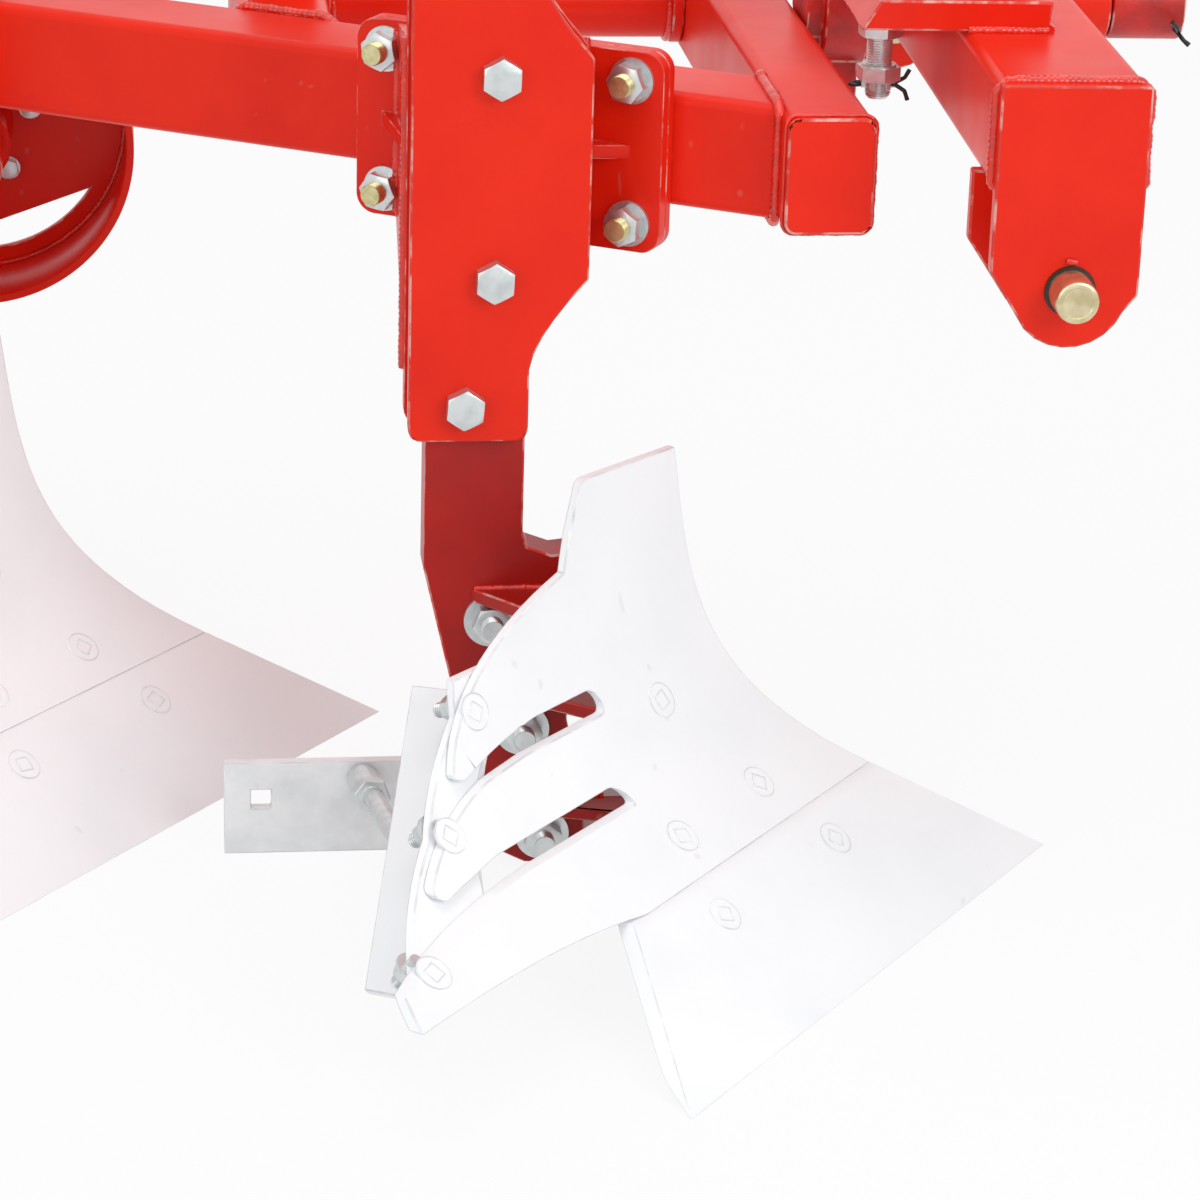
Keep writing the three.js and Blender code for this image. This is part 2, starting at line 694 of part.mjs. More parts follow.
function acrossHead(geometry) {
  const turned = geometry.clone().scale(1, -1, 1);
  const flipped = turned.index ? turned.toNonIndexed() : turned;
  const points = flipped.attributes.position;
  for (let i = 0; i < points.count; i += 3) {
    const a = new THREE.Vector3().fromBufferAttribute(points, i);
    const b = new THREE.Vector3().fromBufferAttribute(points, i + 1);
    points.setXYZ(i, b.x, b.y, b.z);
    points.setXYZ(i + 1, a.x, a.y, a.z);
  }
  flipped.computeVertexNormals();
  return flipped;
}

const topPinZ = lowerPinZ + topPinRise;
const topPinX = headTubeRearX + 78;

function mastPlate() {
  const outline = new THREE.Shape();
  outline.moveTo(headTubeRearX + 4, headTubeTop + seam);
  outline.lineTo(headTubeRearX + headTubeWidth - 4, headTubeTop + seam);
  outline.lineTo(topPinX + 38, topPinZ);
  outline.absarc(topPinX, topPinZ, 38, 0, Math.PI, false);
  outline.lineTo(headTubeRearX + 4, headTubeTop + 60);
  const y0 = -topLinkGap / 2 - mastPlateThick;
  const holes = [0, -80].map((down) => rodAlongY(topPinRadius + seam, topPinX, topPinZ + down, y0 - 5, y0 + 30));
  return cut(uprightPlate(outline, y0, y0 + mastPlateThick, 8), ...holes);
}

function topPin() {
  const half = topLinkGap / 2 + mastPlateThick + 22;
  return rodAlongY(topPinRadius, topPinX, topPinZ, -half, half, 36);
}

// A tube from the mast back and down to a lug on the rear cross tube.
function mastStay() {
  const upper = new THREE.Vector3(topPinX - 60, topLinkGap / 2 - 15, topPinZ - 80);
  const foot = new THREE.Vector3(-478, 106, beamTop + 62);
  const tube = rodBetween(24, upper, foot);
  const upperLug = box(topPinX - 90, topPinX + 26, -topLinkGap / 2 + seam, topLinkGap / 2 - seam, topPinZ - 106, topPinZ - 54);
  const pinGap = rodAlongY(topPinRadius + seam, topPinX, topPinZ - 80, -60, 60);
  const footBlock = box(-510, -446, 72, 142, beamTop + seam, beamTop + 74);
  return cut(join(tube, upperLug, footBlock), pinGap);
}

function stayPin() {
  const half = topLinkGap / 2 + mastPlateThick + 16;
  return rodAlongY(topPinRadius, topPinX, topPinZ - 80, -half, half, 20);
}

// The levelling bracket: a thick bar on the cross tube that reaches back over the gap to the frame.
const bracketY = -343;
const bracketWidth = 130;
const bracketThick = 26;
const levellingBoltX = 32;
const levellingBoltY = -282;
const levellingBoltRadius = 11;

function levellingBracket() {
  const z0 = headTubeTop + seam;
  const shape = polygon([[6, z0], [166, z0], [169, z0 + bracketThick], [22, z0 + bracketThick]]);
  const bar = uprightPlate(shape, bracketY, bracketY + bracketWidth);
  return cut(bar, levellingRod(levellingBoltRadius + seam, z0 - 20, z0 + bracketThick + 20));
}

function levellingRod(radius, z0, z1, sides = 20) {
  return new THREE.CylinderGeometry(radius, radius, z1 - z0, sides)
    .rotateX(Math.PI / 2)
    .translate(levellingBoltX, levellingBoltY, (z0 + z1) / 2);
}

function levellingBolt() {
  const under = headTubeTop;
  const top = headTubeTop + seam * 2 + bracketThick;
  return join(
    levellingRod(levellingBoltRadius, under - 72, top + 16),
    levellingRod(17, under - 18, under, 6),
    levellingRod(21, under - 58, under - 42, 6),
    levellingRod(17, top, top + 14, 6),
  );
}

function headstock() {
  const group = new THREE.Group();
  group.position.set(frontFaceX, headCentreY, 0);
  group.rotation.z = -headSwing;
  group.add(piece("hitch_cross_tube", headCrossTube(), paint));
  group.add(piece("pivot_shaft", pivotShaft(), paint));
  group.add(piece("hitch_plate_right", endPlate(), paint));
  group.add(piece("hitch_plate_left", acrossHead(endPlate()), paint));
  group.add(piece("hitch_lug_right", innerLug(), paint));
  group.add(piece("hitch_lug_left", acrossHead(innerLug()), paint));
  group.add(piece("hitch_pin_right", lowerPin(), zinc));
  group.add(piece("hitch_pin_left", acrossHead(lowerPin()), zinc));
  group.add(piece("mast_plate_right", mastPlate(), paint));
  group.add(piece("mast_plate_left", acrossHead(mastPlate()), paint));
  group.add(piece("top_link_pin", topPin(), zinc));
  group.add(piece("stay_pin", stayPin(), zinc));
  group.add(piece("mast_stay", mastStay(), paint));
  group.add(piece("levelling_bracket", levellingBracket(), paint));
  group.add(piece("levelling_bolt", levellingBolt(), zinc));
  return group;
}

// ---------------------------------------------------------------- gauge wheel
function wheelSleeve() {
  const outer = postSide / 2 + slideClearance + sleeveWall;
  const y = wheelNearY - 34 - outer;
  const tube = box(wheelX - outer, wheelX + outer, y - outer, y + outer, beamUnderside - 30, beamTop + 40);
  const hole = postSide / 2 + slideClearance;
  const bore = box(wheelX - hole, wheelX + hole, y - hole, y + hole, 300, 1200);
  const arm = box(wheelX + 100, wheelX + 185, 300, y, beamUnderside + 15, beamTop - 15);
  const foot = box(wheelX - 30, wheelX + 185, y - 50, y, beamUnderside + 15, beamTop - 15);
  const beam = besideBeam(box(-2000, 500, -400, beamSide + seam, 300, 900));
  return cut(join(tube, arm, foot), bore, beam);
}

function wheelPost() {
  const outer = postSide / 2 + slideClearance + sleeveWall;
  const y = wheelNearY - 34 - outer;
  const half = postSide / 2;
  const bar = box(wheelX - half, wheelX + half, y - half, y + half, wheelZ - 40, beamTop + 250);
  const hubEnd = hubBack();
  const axle = rodAlongY(axleRadius, wheelX, wheelZ, y, hubEnd + 12, 24);
  const shoulder = rodAlongY(axleRadius + 12, wheelX, wheelZ, y, wheelNearY + 12, 24);
  const retainer = rodAlongY(axleRadius + 10, wheelX, wheelZ, hubEnd + 1, hubEnd + 12, 24);
  return join(bar, axle, shoulder, retainer);
}

function gaugeWheel() {
  const far = wheelNearY + wheelWidth;
  const hubStart = wheelNearY + 13;
  const hubEnd = hubBack();
  const rim = cut(
    rodAlongY(wheelRadius, 0, 0, wheelNearY, far, 48),
    rodAlongY(wheelRadius - rimThick, 0, 0, wheelNearY - 5, far + 5, 48),
  );
  const hub = rodAlongY(38, 0, 0, hubStart, hubEnd, 28);
  const bore = rodAlongY(axleRadius + axleClearance, 0, 0, hubStart - 5, hubEnd + 5, 24);
  return cut(join(rim, webPlate(), hub), bore).translate(wheelX, 0, wheelZ);
}

function hubBack() {
  return wheelNearY + webInset + webThick + 6;
}

// The wheel's web, a plate with three windows between a chord and the rim.
function webPlate() {
  const shape = new THREE.Shape();
  shape.absarc(0, 0, wheelRadius - rimThick / 2, 0, Math.PI * 2, false);
  const half = THREE.MathUtils.degToRad(38.5);
  const first = THREE.MathUtils.degToRad(-70);
  const windows = [0, 1, 2].map((i) => {
    const middle = first + (i * Math.PI * 2) / 3;
    const path = new THREE.Path();
    path.absarc(0, 0, wheelRadius - 26, middle - half, middle + half, false);
    path.closePath();
    return path;
  });
  shape.holes.push(...windows);
  return uprightPlate(shape, wheelNearY + webInset, wheelNearY + webInset + webThick, 24);
}

// ---------------------------------------------------------------- parking stand
function standSleeve() {
  const hole = standSide / 2 + slideClearance;
  const outer = hole + sleeveWall;
  const y = longTubeY + longTubeRadius + 14 + outer;
  const tube = box(standX - outer, standX + outer, y - outer, y + outer, beamCentreZ - 75, beamCentreZ + 75);
  const saddle = box(standX - 26, standX + 26, longTubeY, y, beamCentreZ - 50, beamCentreZ + 50);
  const bore = box(standX - hole, standX + hole, y - hole, y + hole, 0, 1200);
  const gap = rodAlongX(longTubeRadius + seam, longTubeY, beamCentreZ, standX - 60, standX + 60);
  return cut(join(tube, saddle), bore, gap);
}

function standLeg() {
  const outer = standSide / 2 + slideClearance + sleeveWall;
  const y = longTubeY + longTubeRadius + 14 + outer;
  const half = standSide / 2;
  const post = box(standX - half, standX + half, y - half, y + half, standFootThick / 2, beamCentreZ + 140);
  const foot = new THREE.CylinderGeometry(standFootRadius, standFootRadius, standFootThick, 28)
    .rotateX(Math.PI / 2)
    .translate(standX, y, standFootThick / 2);
  return join(post, foot);
}

// ---------------------------------------------------------------- the plough
function plough() {
  const group = new THREE.Group();
  group.add(frame());
  group.add(headstock());
  for (let index = 0; index < bodyCount; index += 1) {
    group.add(station(index));
  }
  group.add(piece("wheel_sleeve", wheelSleeve(), paint));
  group.add(piece("wheel_post", wheelPost(), paint));
  group.add(piece("gauge_wheel", gaugeWheel(), paint));
  group.add(piece("stand_sleeve", standSleeve(), paint));
  group.add(piece("stand_leg", standLeg(), paint));
  return group;
}

// The origin is the middle of the plough's box, on the ground.
function onGround(object) {
  object.updateMatrixWorld(true);
  const bounds = new THREE.Box3().setFromObject(object, true);
  const centre = bounds.getCenter(new THREE.Vector3());
  const holder = new THREE.Group();
  object.position.set(-centre.x, -centre.y, -bounds.min.z);
  holder.add(object);
  return holder;
}

export default onGround(plough());
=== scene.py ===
"""Looks of a three-furrow mounted moldboard plough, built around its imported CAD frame.

Sizes in the classes are millimetres in a sub-assembly's own frame. A place matrix brings them to metres.
"""

import logging
import math
from dataclasses import dataclass, field
from enum import Enum
from typing import Any, Callable, Sequence

import bmesh
import bpy
from mathutils import Matrix, Vector


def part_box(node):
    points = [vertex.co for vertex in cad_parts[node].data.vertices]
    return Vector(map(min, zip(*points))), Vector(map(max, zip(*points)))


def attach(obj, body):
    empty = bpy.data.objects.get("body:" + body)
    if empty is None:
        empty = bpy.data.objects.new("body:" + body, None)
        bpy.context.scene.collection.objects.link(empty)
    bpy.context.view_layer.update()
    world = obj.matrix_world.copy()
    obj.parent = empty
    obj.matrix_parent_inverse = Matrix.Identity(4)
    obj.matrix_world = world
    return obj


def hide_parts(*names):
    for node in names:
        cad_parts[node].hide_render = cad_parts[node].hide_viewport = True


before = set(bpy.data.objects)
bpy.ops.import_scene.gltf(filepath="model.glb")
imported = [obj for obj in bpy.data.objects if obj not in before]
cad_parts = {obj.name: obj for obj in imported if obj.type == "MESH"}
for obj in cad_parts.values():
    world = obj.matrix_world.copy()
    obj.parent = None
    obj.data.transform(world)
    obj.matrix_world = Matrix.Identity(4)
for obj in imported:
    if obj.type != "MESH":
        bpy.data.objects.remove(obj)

log = logging.getLogger("plough")
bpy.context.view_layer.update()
MM = 0.001
CREASE = 32.0
BEAD_CREASE = 60.0
WHITE = (1.0, 1.0, 1.0, 1.0)
BODIES = 3
Point = tuple[float, float, float]
Flat = tuple[float, float]
Colour = tuple[float, float, float, float]
Path = tuple[Sequence[Sequence[float]], bool]
Shape = bmesh.types.BMesh
Socket = bpy.types.NodeSocket
Sockets = bpy.types.NodeOutputs
Tree = bpy.types.NodeTree


class Body(Enum):
    """The moving bodies of the plough."""

    FRAME = "frame"
    WHEEL_POST = "wheel_post"
    WHEEL = "gauge_wheel"
    STAND = "stand_leg"


class Slot(Enum):
    """The record's material slots."""

    PAINT = "red_paint"
    STEEL = "body_steel"
    ZINC = "zinc"


def shade(red: int, green: int, blue: int) -> Colour:
    """Gives the linear colour, with full alpha, of a display colour whose channels go from 0 to 255."""
    def linear(value: int) -> float:
        """Turns one display channel into a linear one."""
        part = value / 255
        return part / 12.92 if part <= 0.04045 else ((part + 0.055) / 1.055) ** 2.4

    return (linear(red), linear(green), linear(blue), 1.0)


# ------------------------------------------------------------------ node trees
@dataclass
class NodeSheet:
    """A thin hand for adding nodes to a tree and joining them."""

    tree: Tree

    def add(self, kind: str, inputs: dict[Any, Any] | None = None, **settings: Any) -> bpy.types.Node:
        """Adds a node.

        Args:
            kind: The node's type.
            inputs: Values or sockets for its inputs, by name or number.
            **settings: Properties set before the inputs.

        Returns:
            The new node.
        """
        node = self.tree.nodes.new(kind)
        for key, value in settings.items():
            setattr(node, key, value)
        for key, value in (inputs or {}).items():
            self.feed(self.socket(node, key), value)
        return node

    def socket(self, node: bpy.types.Node, key: Any) -> Socket:
        """Finds an enabled input by name, or any input by number."""
        if isinstance(key, int):
            return node.inputs[key]
        return next(s for s in node.inputs if s.name == key and s.enabled)

    def feed(self, socket: Socket, value: Any) -> None:
        """Links a socket, each of a list of sockets, or sets a plain value."""
        if isinstance(value, Socket):
            self.tree.links.new(value, socket)
        elif isinstance(value, list):
            for each in value:
                self.tree.links.new(each, socket)
        else:
            socket.default_value = value

    def make(self, kind: str, inputs: dict[Any, Any] | None = None, **settings: Any) -> Socket:
        """Adds a node and gives its first output."""
        return self.add(kind, inputs, **settings).outputs[0]

    def sums(self, operation: str, *values: Any) -> Socket:
        """Adds a math node and gives its result."""
        return self.make("ShaderNodeMath", dict(enumerate(values)), operation=operation)

    def times(self, *values: Any) -> Socket:
        """Gives a product."""
        return self.sums("MULTIPLY", *values)

    def plus(self, *values: Any) -> Socket:
        """Gives a sum."""
        return self.sums("ADD", *values)

    def minus(self, *values: Any) -> Socket:
        """Gives a difference."""
        return self.sums("SUBTRACT", *values)

    def ramp(self, value: Any, low: Any, high: Any, to_low: Any = 0.0, to_high: Any = 1.0) -> Socket:
        """Maps a range of values to another, with its ends held."""
        return self.make("ShaderNodeMapRange", {
            "Value": value, "From Min": low, "From Max": high, "To Min": to_low, "To Max": to_high})

    def noise(self, vector: Any, scale: Any, detail: float, roughness: float = 0.5) -> Sockets:
        """Adds a noise texture and gives its outputs."""
        return self.add("ShaderNodeTexNoise", {
            "Vector": vector, "Scale": scale, "Detail": detail, "Roughness": roughness}).outputs

    def blend(self, factor: Any, first: Any, second: Any) -> Socket:
        """Mixes two colours."""
        mix = self.add("ShaderNodeMix", {"Factor": factor, "A": first, "B": second}, data_type="RGBA")
        return next(s for s in mix.outputs if s.enabled)

    def lift(self, shape: Socket, height: Any) -> Socket:
        """Raises a shape along Z."""
        up = self.make("ShaderNodeCombineXYZ", {"Z": height})
        return self.make("GeometryNodeTransform", {"Geometry": shape, "Translation": up})

    def join(self, *shapes: Socket) -> Socket:
        """Joins shapes."""
        return self.make("GeometryNodeJoinGeometry", {"Geometry": list(shapes)})

    def coat(self, shape: Socket, material: Any) -> Socket:
        """Sets a shape's material."""
        return self.make("GeometryNodeSetMaterial", {"Geometry": shape, "Material": material})

    def cylinder(self, sides: int, radius: Any, depth: Any) -> Socket:
        """Gives a cylinder or a prism about Z."""
        return self.make("GeometryNodeMeshCylinder", {"Vertices": sides, "Radius": radius, "Depth": depth})

    def loop(self, steps: int, radius: Any) -> Socket:
        """Gives a round curve."""
        return self.make("GeometryNodeCurvePrimitiveCircle", {"Resolution": steps, "Radius": radius})

    def tube(self, line: Socket, section: Socket) -> Socket:
        """Sweeps a section along a curve."""
        return self.make("GeometryNodeCurveToMesh", {"Curve": line, "Profile Curve": section})

    def realised(self, shape: Socket) -> Socket:
        """Makes instances real."""
        return self.make("GeometryNodeRealizeInstances", {"Geometry": shape})


def new_group(
    name: str, kind: str, inputs: Sequence[tuple[str, str, Any]], outputs: Sequence[tuple[str, str]]
) -> tuple[NodeSheet, bpy.types.Node, bpy.types.Node]:
    """Starts a node group with named inputs and outputs.

    Args:
        name: The group's name.
        kind: The tree's type.
        inputs: Name, socket kind and default of each input.
        outputs: Name and socket kind of each output.

    Returns:
        The sheet to add nodes with, the group's input node and its output node.
    """
    tree = bpy.data.node_groups.new(name, kind)
    for label, socket, default in inputs:
        made = tree.interface.new_socket(label, in_out="INPUT", socket_type=f"NodeSocket{socket}")
        if default is not None:
            made.default_value = default
    for label, socket in outputs:
        tree.interface.new_socket(label, in_out="OUTPUT", socket_type=f"NodeSocket{socket}")
    sheet = NodeSheet(tree)
    return sheet, sheet.add("NodeGroupInput"), sheet.add("NodeGroupOutput")


# ------------------------------------------------------------------ finishes
class FinishKit:
    """The shader groups that the finishes share."""

    def __init__(self) -> None:
        """Builds each group once."""
        self.mottle = self._mottle()
        self.scuffs = self._scuffs()
        self.grain = self._grain()

    def _mottle(self) -> Tree:
        """Builds slow changes between two colours."""
        sheet, given, out = new_group(
            "Mottle",
            "ShaderNodeTree",
            [("Vector", "Vector", None), ("Light", "Color", None), ("Dark", "Color", None),
             ("Scale", "Float", 8.0), ("Low", "Float", 0.35), ("High", "Float", 0.65)],
            [("Colour", "Color")],
        )
        get = given.outputs
        noise = sheet.noise(get["Vector"], get["Scale"], 5.0, 0.55)
        mask = sheet.ramp(noise["Fac"], get["Low"], get["High"])
        sheet.feed(out.inputs["Colour"], sheet.blend(mask, get["Light"], get["Dark"]))
        return sheet.tree

    def _scuffs(self) -> Tree:
        """Builds short scratches and small chips."""
        sheet, given, out = new_group(
            "Scuffs",
            "ShaderNodeTree",
            [("Vector", "Vector", None), ("Scale", "Float", 20.0), ("Amount", "Float", 0.5)],
            [("Mask", "Float")],
        )
        get = given.outputs
        bent = sheet.noise(get["Vector"], 6.0, 2.0)
        swayed = sheet.make("ShaderNodeVectorMath", {0: bent["Color"], "Scale": 0.12}, operation="SCALE")
        shifted = sheet.make("ShaderNodeVectorMath", {
            0: get["Vector"], 1: (1.0, 1.0, 0.7), 2: swayed}, operation="MULTIPLY_ADD")
        chips = sheet.add("ShaderNodeTexVoronoi", {"Vector": shifted, "Scale": get["Scale"]})
        chip = sheet.ramp(chips.outputs["Distance"], 0.13, 0.06)
        where = sheet.ramp(sheet.noise(get["Vector"], 3.1, 3.0)["Fac"], 0.5, 0.68)
        sheet.feed(out.inputs["Mask"], sheet.times(sheet.times(chip, where), get["Amount"]))
        return sheet.tree

    def _grain(self) -> Tree:
        """Builds fine relief and the uneven gloss that goes with it."""
        sheet, given, out = new_group(
            "Grain",
            "ShaderNodeTree",
            [("Vector", "Vector", None), ("Scale", "Float", 60.0), ("Smooth", "Float", 0.2), ("Rough", "Float", 0.4)],
            [("Roughness", "Float"), ("Height", "Float")],
        )
        get = given.outputs
        broad = sheet.noise(get["Vector"], 5.5, 4.0)["Fac"]
        fine = sheet.noise(get["Vector"], get["Scale"], 3.0)["Fac"]
        sheet.feed(out.inputs["Roughness"], sheet.ramp(broad, 0.3, 0.7, get["Smooth"], get["Rough"]))
        sheet.feed(out.inputs["Height"], sheet.plus(fine, sheet.times(broad, 1.5)))
        return sheet.tree


@dataclass(frozen=True)
class Finish:
    """A surface finish: its colours, its gloss, and the relief that breaks up its reflections."""

    name: str
    light: Colour
    dark: Colour
    mottle_scale: float = 7.0
    mottle_low: float = 0.38
    mottle_high: float = 0.66
    smooth: float = 0.2
    rough: float = 0.35
    grain_scale: float = 70.0
    relief: float = 0.0006
    relief_strength: float = 0.2
    metallic: float = 0.0
    coat: float = 0.0
    coat_rough: float = 0.08
    specular: float = 0.5
    scuff: Colour = (0.5, 0.45, 0.43, 1.0)
    scuff_scale: float = 24.0
    scuff_amount: float = 0.0
    stretch: Point = (1.0, 1.0, 1.0)

    def material(self, kit: FinishKit) -> bpy.types.Material:
        """Builds the material with the shared shader groups."""
        material = bpy.data.materials.new(self.name)
        material.use_nodes = True
        sheet = NodeSheet(material.node_tree)
        sheet.tree.nodes.clear()
        place = sheet.add("ShaderNodeTexCoord").outputs["Object"]
        mapped = sheet.make("ShaderNodeMapping", {"Vector": place, "Scale": self.stretch})
        mottle = sheet.add("ShaderNodeGroup", {
            "Vector": place, "Light": self.light, "Dark": self.dark, "Scale": self.mottle_scale,
            "Low": self.mottle_low, "High": self.mottle_high}, node_tree=kit.mottle)
        grain = sheet.add("ShaderNodeGroup", {
            "Vector": mapped, "Scale": self.grain_scale, "Smooth": self.smooth, "Rough": self.rough},
            node_tree=kit.grain)
        colour = mottle.outputs["Colour"]
        if self.scuff_amount:
            scuffs = sheet.add("ShaderNodeGroup", {
                "Vector": place, "Scale": self.scuff_scale, "Amount": self.scuff_amount}, node_tree=kit.scuffs)
            colour = sheet.blend(scuffs.outputs["Mask"], colour, self.scuff)
        bump = sheet.make("ShaderNodeBump", {
            "Strength": self.relief_strength, "Distance": self.relief, "Height": grain.outputs["Height"]})
        shader = sheet.make("ShaderNodeBsdfPrincipled", {
            "Base Color": colour, "Roughness": grain.outputs["Roughness"], "Metallic": self.metallic,
            "Normal": bump, "Coat Weight": self.coat, "Coat Roughness": self.coat_rough,
            "Specular IOR Level": self.specular})
        sheet.add("ShaderNodeOutputMaterial", {"Surface": shader})
        return material


PAINT = Finish(
    "frame_paint", shade(238, 42, 16), shade(228, 34, 14), smooth=0.26, rough=0.42,
    relief_strength=0.22, specular=0.22, scuff=shade(206, 120, 112), scuff_scale=46.0, scuff_amount=0.55,
)
# Pale pink on the rounded edges of the red parts: chips of wear, with a painted highlight along every edge.
EDGE_HIGHLIGHT_AND_WEAR = Finish(
    "paint_edge_highlight_and_wear", shade(220, 166, 156), shade(214, 46, 26), mottle_scale=46.0, mottle_low=0.39,
    mottle_high=0.52, smooth=0.3, rough=0.5, relief_strength=0.4,
)
# Darker red for the leg and the frog: painted shade, for the cheek's shadow that falls on them.
SHADED_LEG_PAINT = Finish(
    "leg_painted_shade", shade(184, 30, 22), shade(160, 24, 20), smooth=0.26, rough=0.42, relief_strength=0.22,
    specular=0.3, scuff=shade(190, 120, 114), scuff_scale=30.0, scuff_amount=0.5,
)
DEEP_PAINT = Finish(
    "shaft_paint", shade(206, 34, 24), shade(164, 24, 20), mottle_scale=30.0, smooth=0.3, rough=0.5,
    relief_strength=0.8, relief=0.001,
)
WELD = Finish(
    "weld_paint", shade(236, 42, 16), shade(206, 34, 16), mottle_scale=60.0, smooth=0.12, rough=0.3,
    grain_scale=220.0, relief_strength=0.5, coat=0.4,
)
STEEL = Finish(
    "body_coat", shade(250, 252, 254), shade(242, 246, 249), mottle_scale=5.0, smooth=0.34, rough=0.5,
    relief_strength=0.12, grain_scale=40.0, scuff=shade(198, 202, 204), scuff_scale=30.0, scuff_amount=0.4,
)
# Grey on the sheets' rounded edges and on the rings round the flush heads: painted shade.
STEEL_EDGE_SHADE = Finish(
    "body_coat_edge_shade", shade(214, 217, 220), shade(244, 246, 248), mottle_scale=40.0, smooth=0.3, rough=0.45,
)
BAR_STEEL = Finish(
    "bar_galvanised", shade(246, 249, 250), shade(230, 235, 236), mottle_scale=26.0, smooth=0.34, rough=0.5,
    metallic=0.12, relief_strength=0.25, scuff=shade(150, 156, 158), scuff_amount=0.5,
)
ZINC = Finish(
    "bright_zinc", shade(214, 218, 218), shade(196, 202, 203), mottle_scale=70.0, smooth=0.24, rough=0.38,
    metallic=0.8, relief_strength=0.3, grain_scale=240.0,
)
YELLOW_ZINC = Finish(
    "yellow_zinc", shade(214, 208, 162), shade(188, 180, 128), mottle_scale=120.0, smooth=0.24, rough=0.4,
    metallic=0.8, relief_strength=0.3, grain_scale=240.0,
)
PIN_ZINC = Finish(
    "brushed_pin", shade(222, 212, 176), shade(196, 182, 140), mottle_scale=70.0, smooth=0.2, rough=0.36,
    metallic=0.85, relief_strength=0.35, grain_scale=160.0, stretch=(9.0, 1.0, 1.0),
)
BLACK_PIN = Finish(
    "black_spring_steel", shade(38, 36, 38), shade(20, 20, 22), mottle_scale=80.0, smooth=0.3, rough=0.5,
)
# Dark brown for the ring round each lower hitch pin where it leaves its plate.
DARK_PIN_RING = Finish(
    "dark_pin_ring", shade(70, 40, 34), shade(34, 22, 20), mottle_scale=50.0, smooth=0.15, rough=0.4,
)


class Palette:
    """Makes each finish's material once."""

    def __init__(self) -> None:
        """Starts with the shared groups and no materials."""
        self.kit = FinishKit()
        self.made: dict[str, bpy.types.Material] = {}

    def __call__(self, finish: Finish) -> bpy.types.Material:
        """Gives a finish's material."""
        if finish.name not in self.made:
            self.made[finish.name] = finish.material(self.kit)
        return self.made[finish.name]


# ------------------------------------------------------------------ places
@dataclass(frozen=True)
class Layout:
    """Where the sub-assemblies stand; lengths in millimetres, angles in radians."""

    skew: float = math.radians(30.2)
    spacing: float = 680.0
    standoff: float = 148.0
    beam_side: float = 100.0
    tube_corner: Point = (225.0, -24.0, 597.0)
    head: Point = (300.0, 382.0, 0.0)
    head_swing: float = math.radians(2.0)

    def plough(self) -> Matrix:
        """Gives the plough's own frame, from the corner of its front cross tube."""
        low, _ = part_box("front_cross_tube")
        return Matrix.Translation(low - Vector(self.tube_corner) * MM) @ Matrix.Scale(MM, 4)

    def headstock(self) -> Matrix:
        """Gives the headstock's frame, x from the face of the front cross tube."""
        return self.plough() @ Matrix.Translation(self.head) @ Matrix.Rotation(-self.head_swing, 4, "Z")

    def station(self, index: int) -> Matrix:
        """Gives the frame of one furrow body, at the near face of its cheek plate."""
        step = index * self.spacing
        return self.plough() @ Matrix.Translation((-step * math.cos(self.skew), step * math.sin(self.skew), 0))

    def beam(self, index: int) -> Matrix:
        """Gives the beam's frame at a furrow body: x along it, y from its right face."""
        return self.station(index) @ Matrix.Translation((0, self.standoff, 0)) @ Matrix.Rotation(-self.skew, 4, "Z")


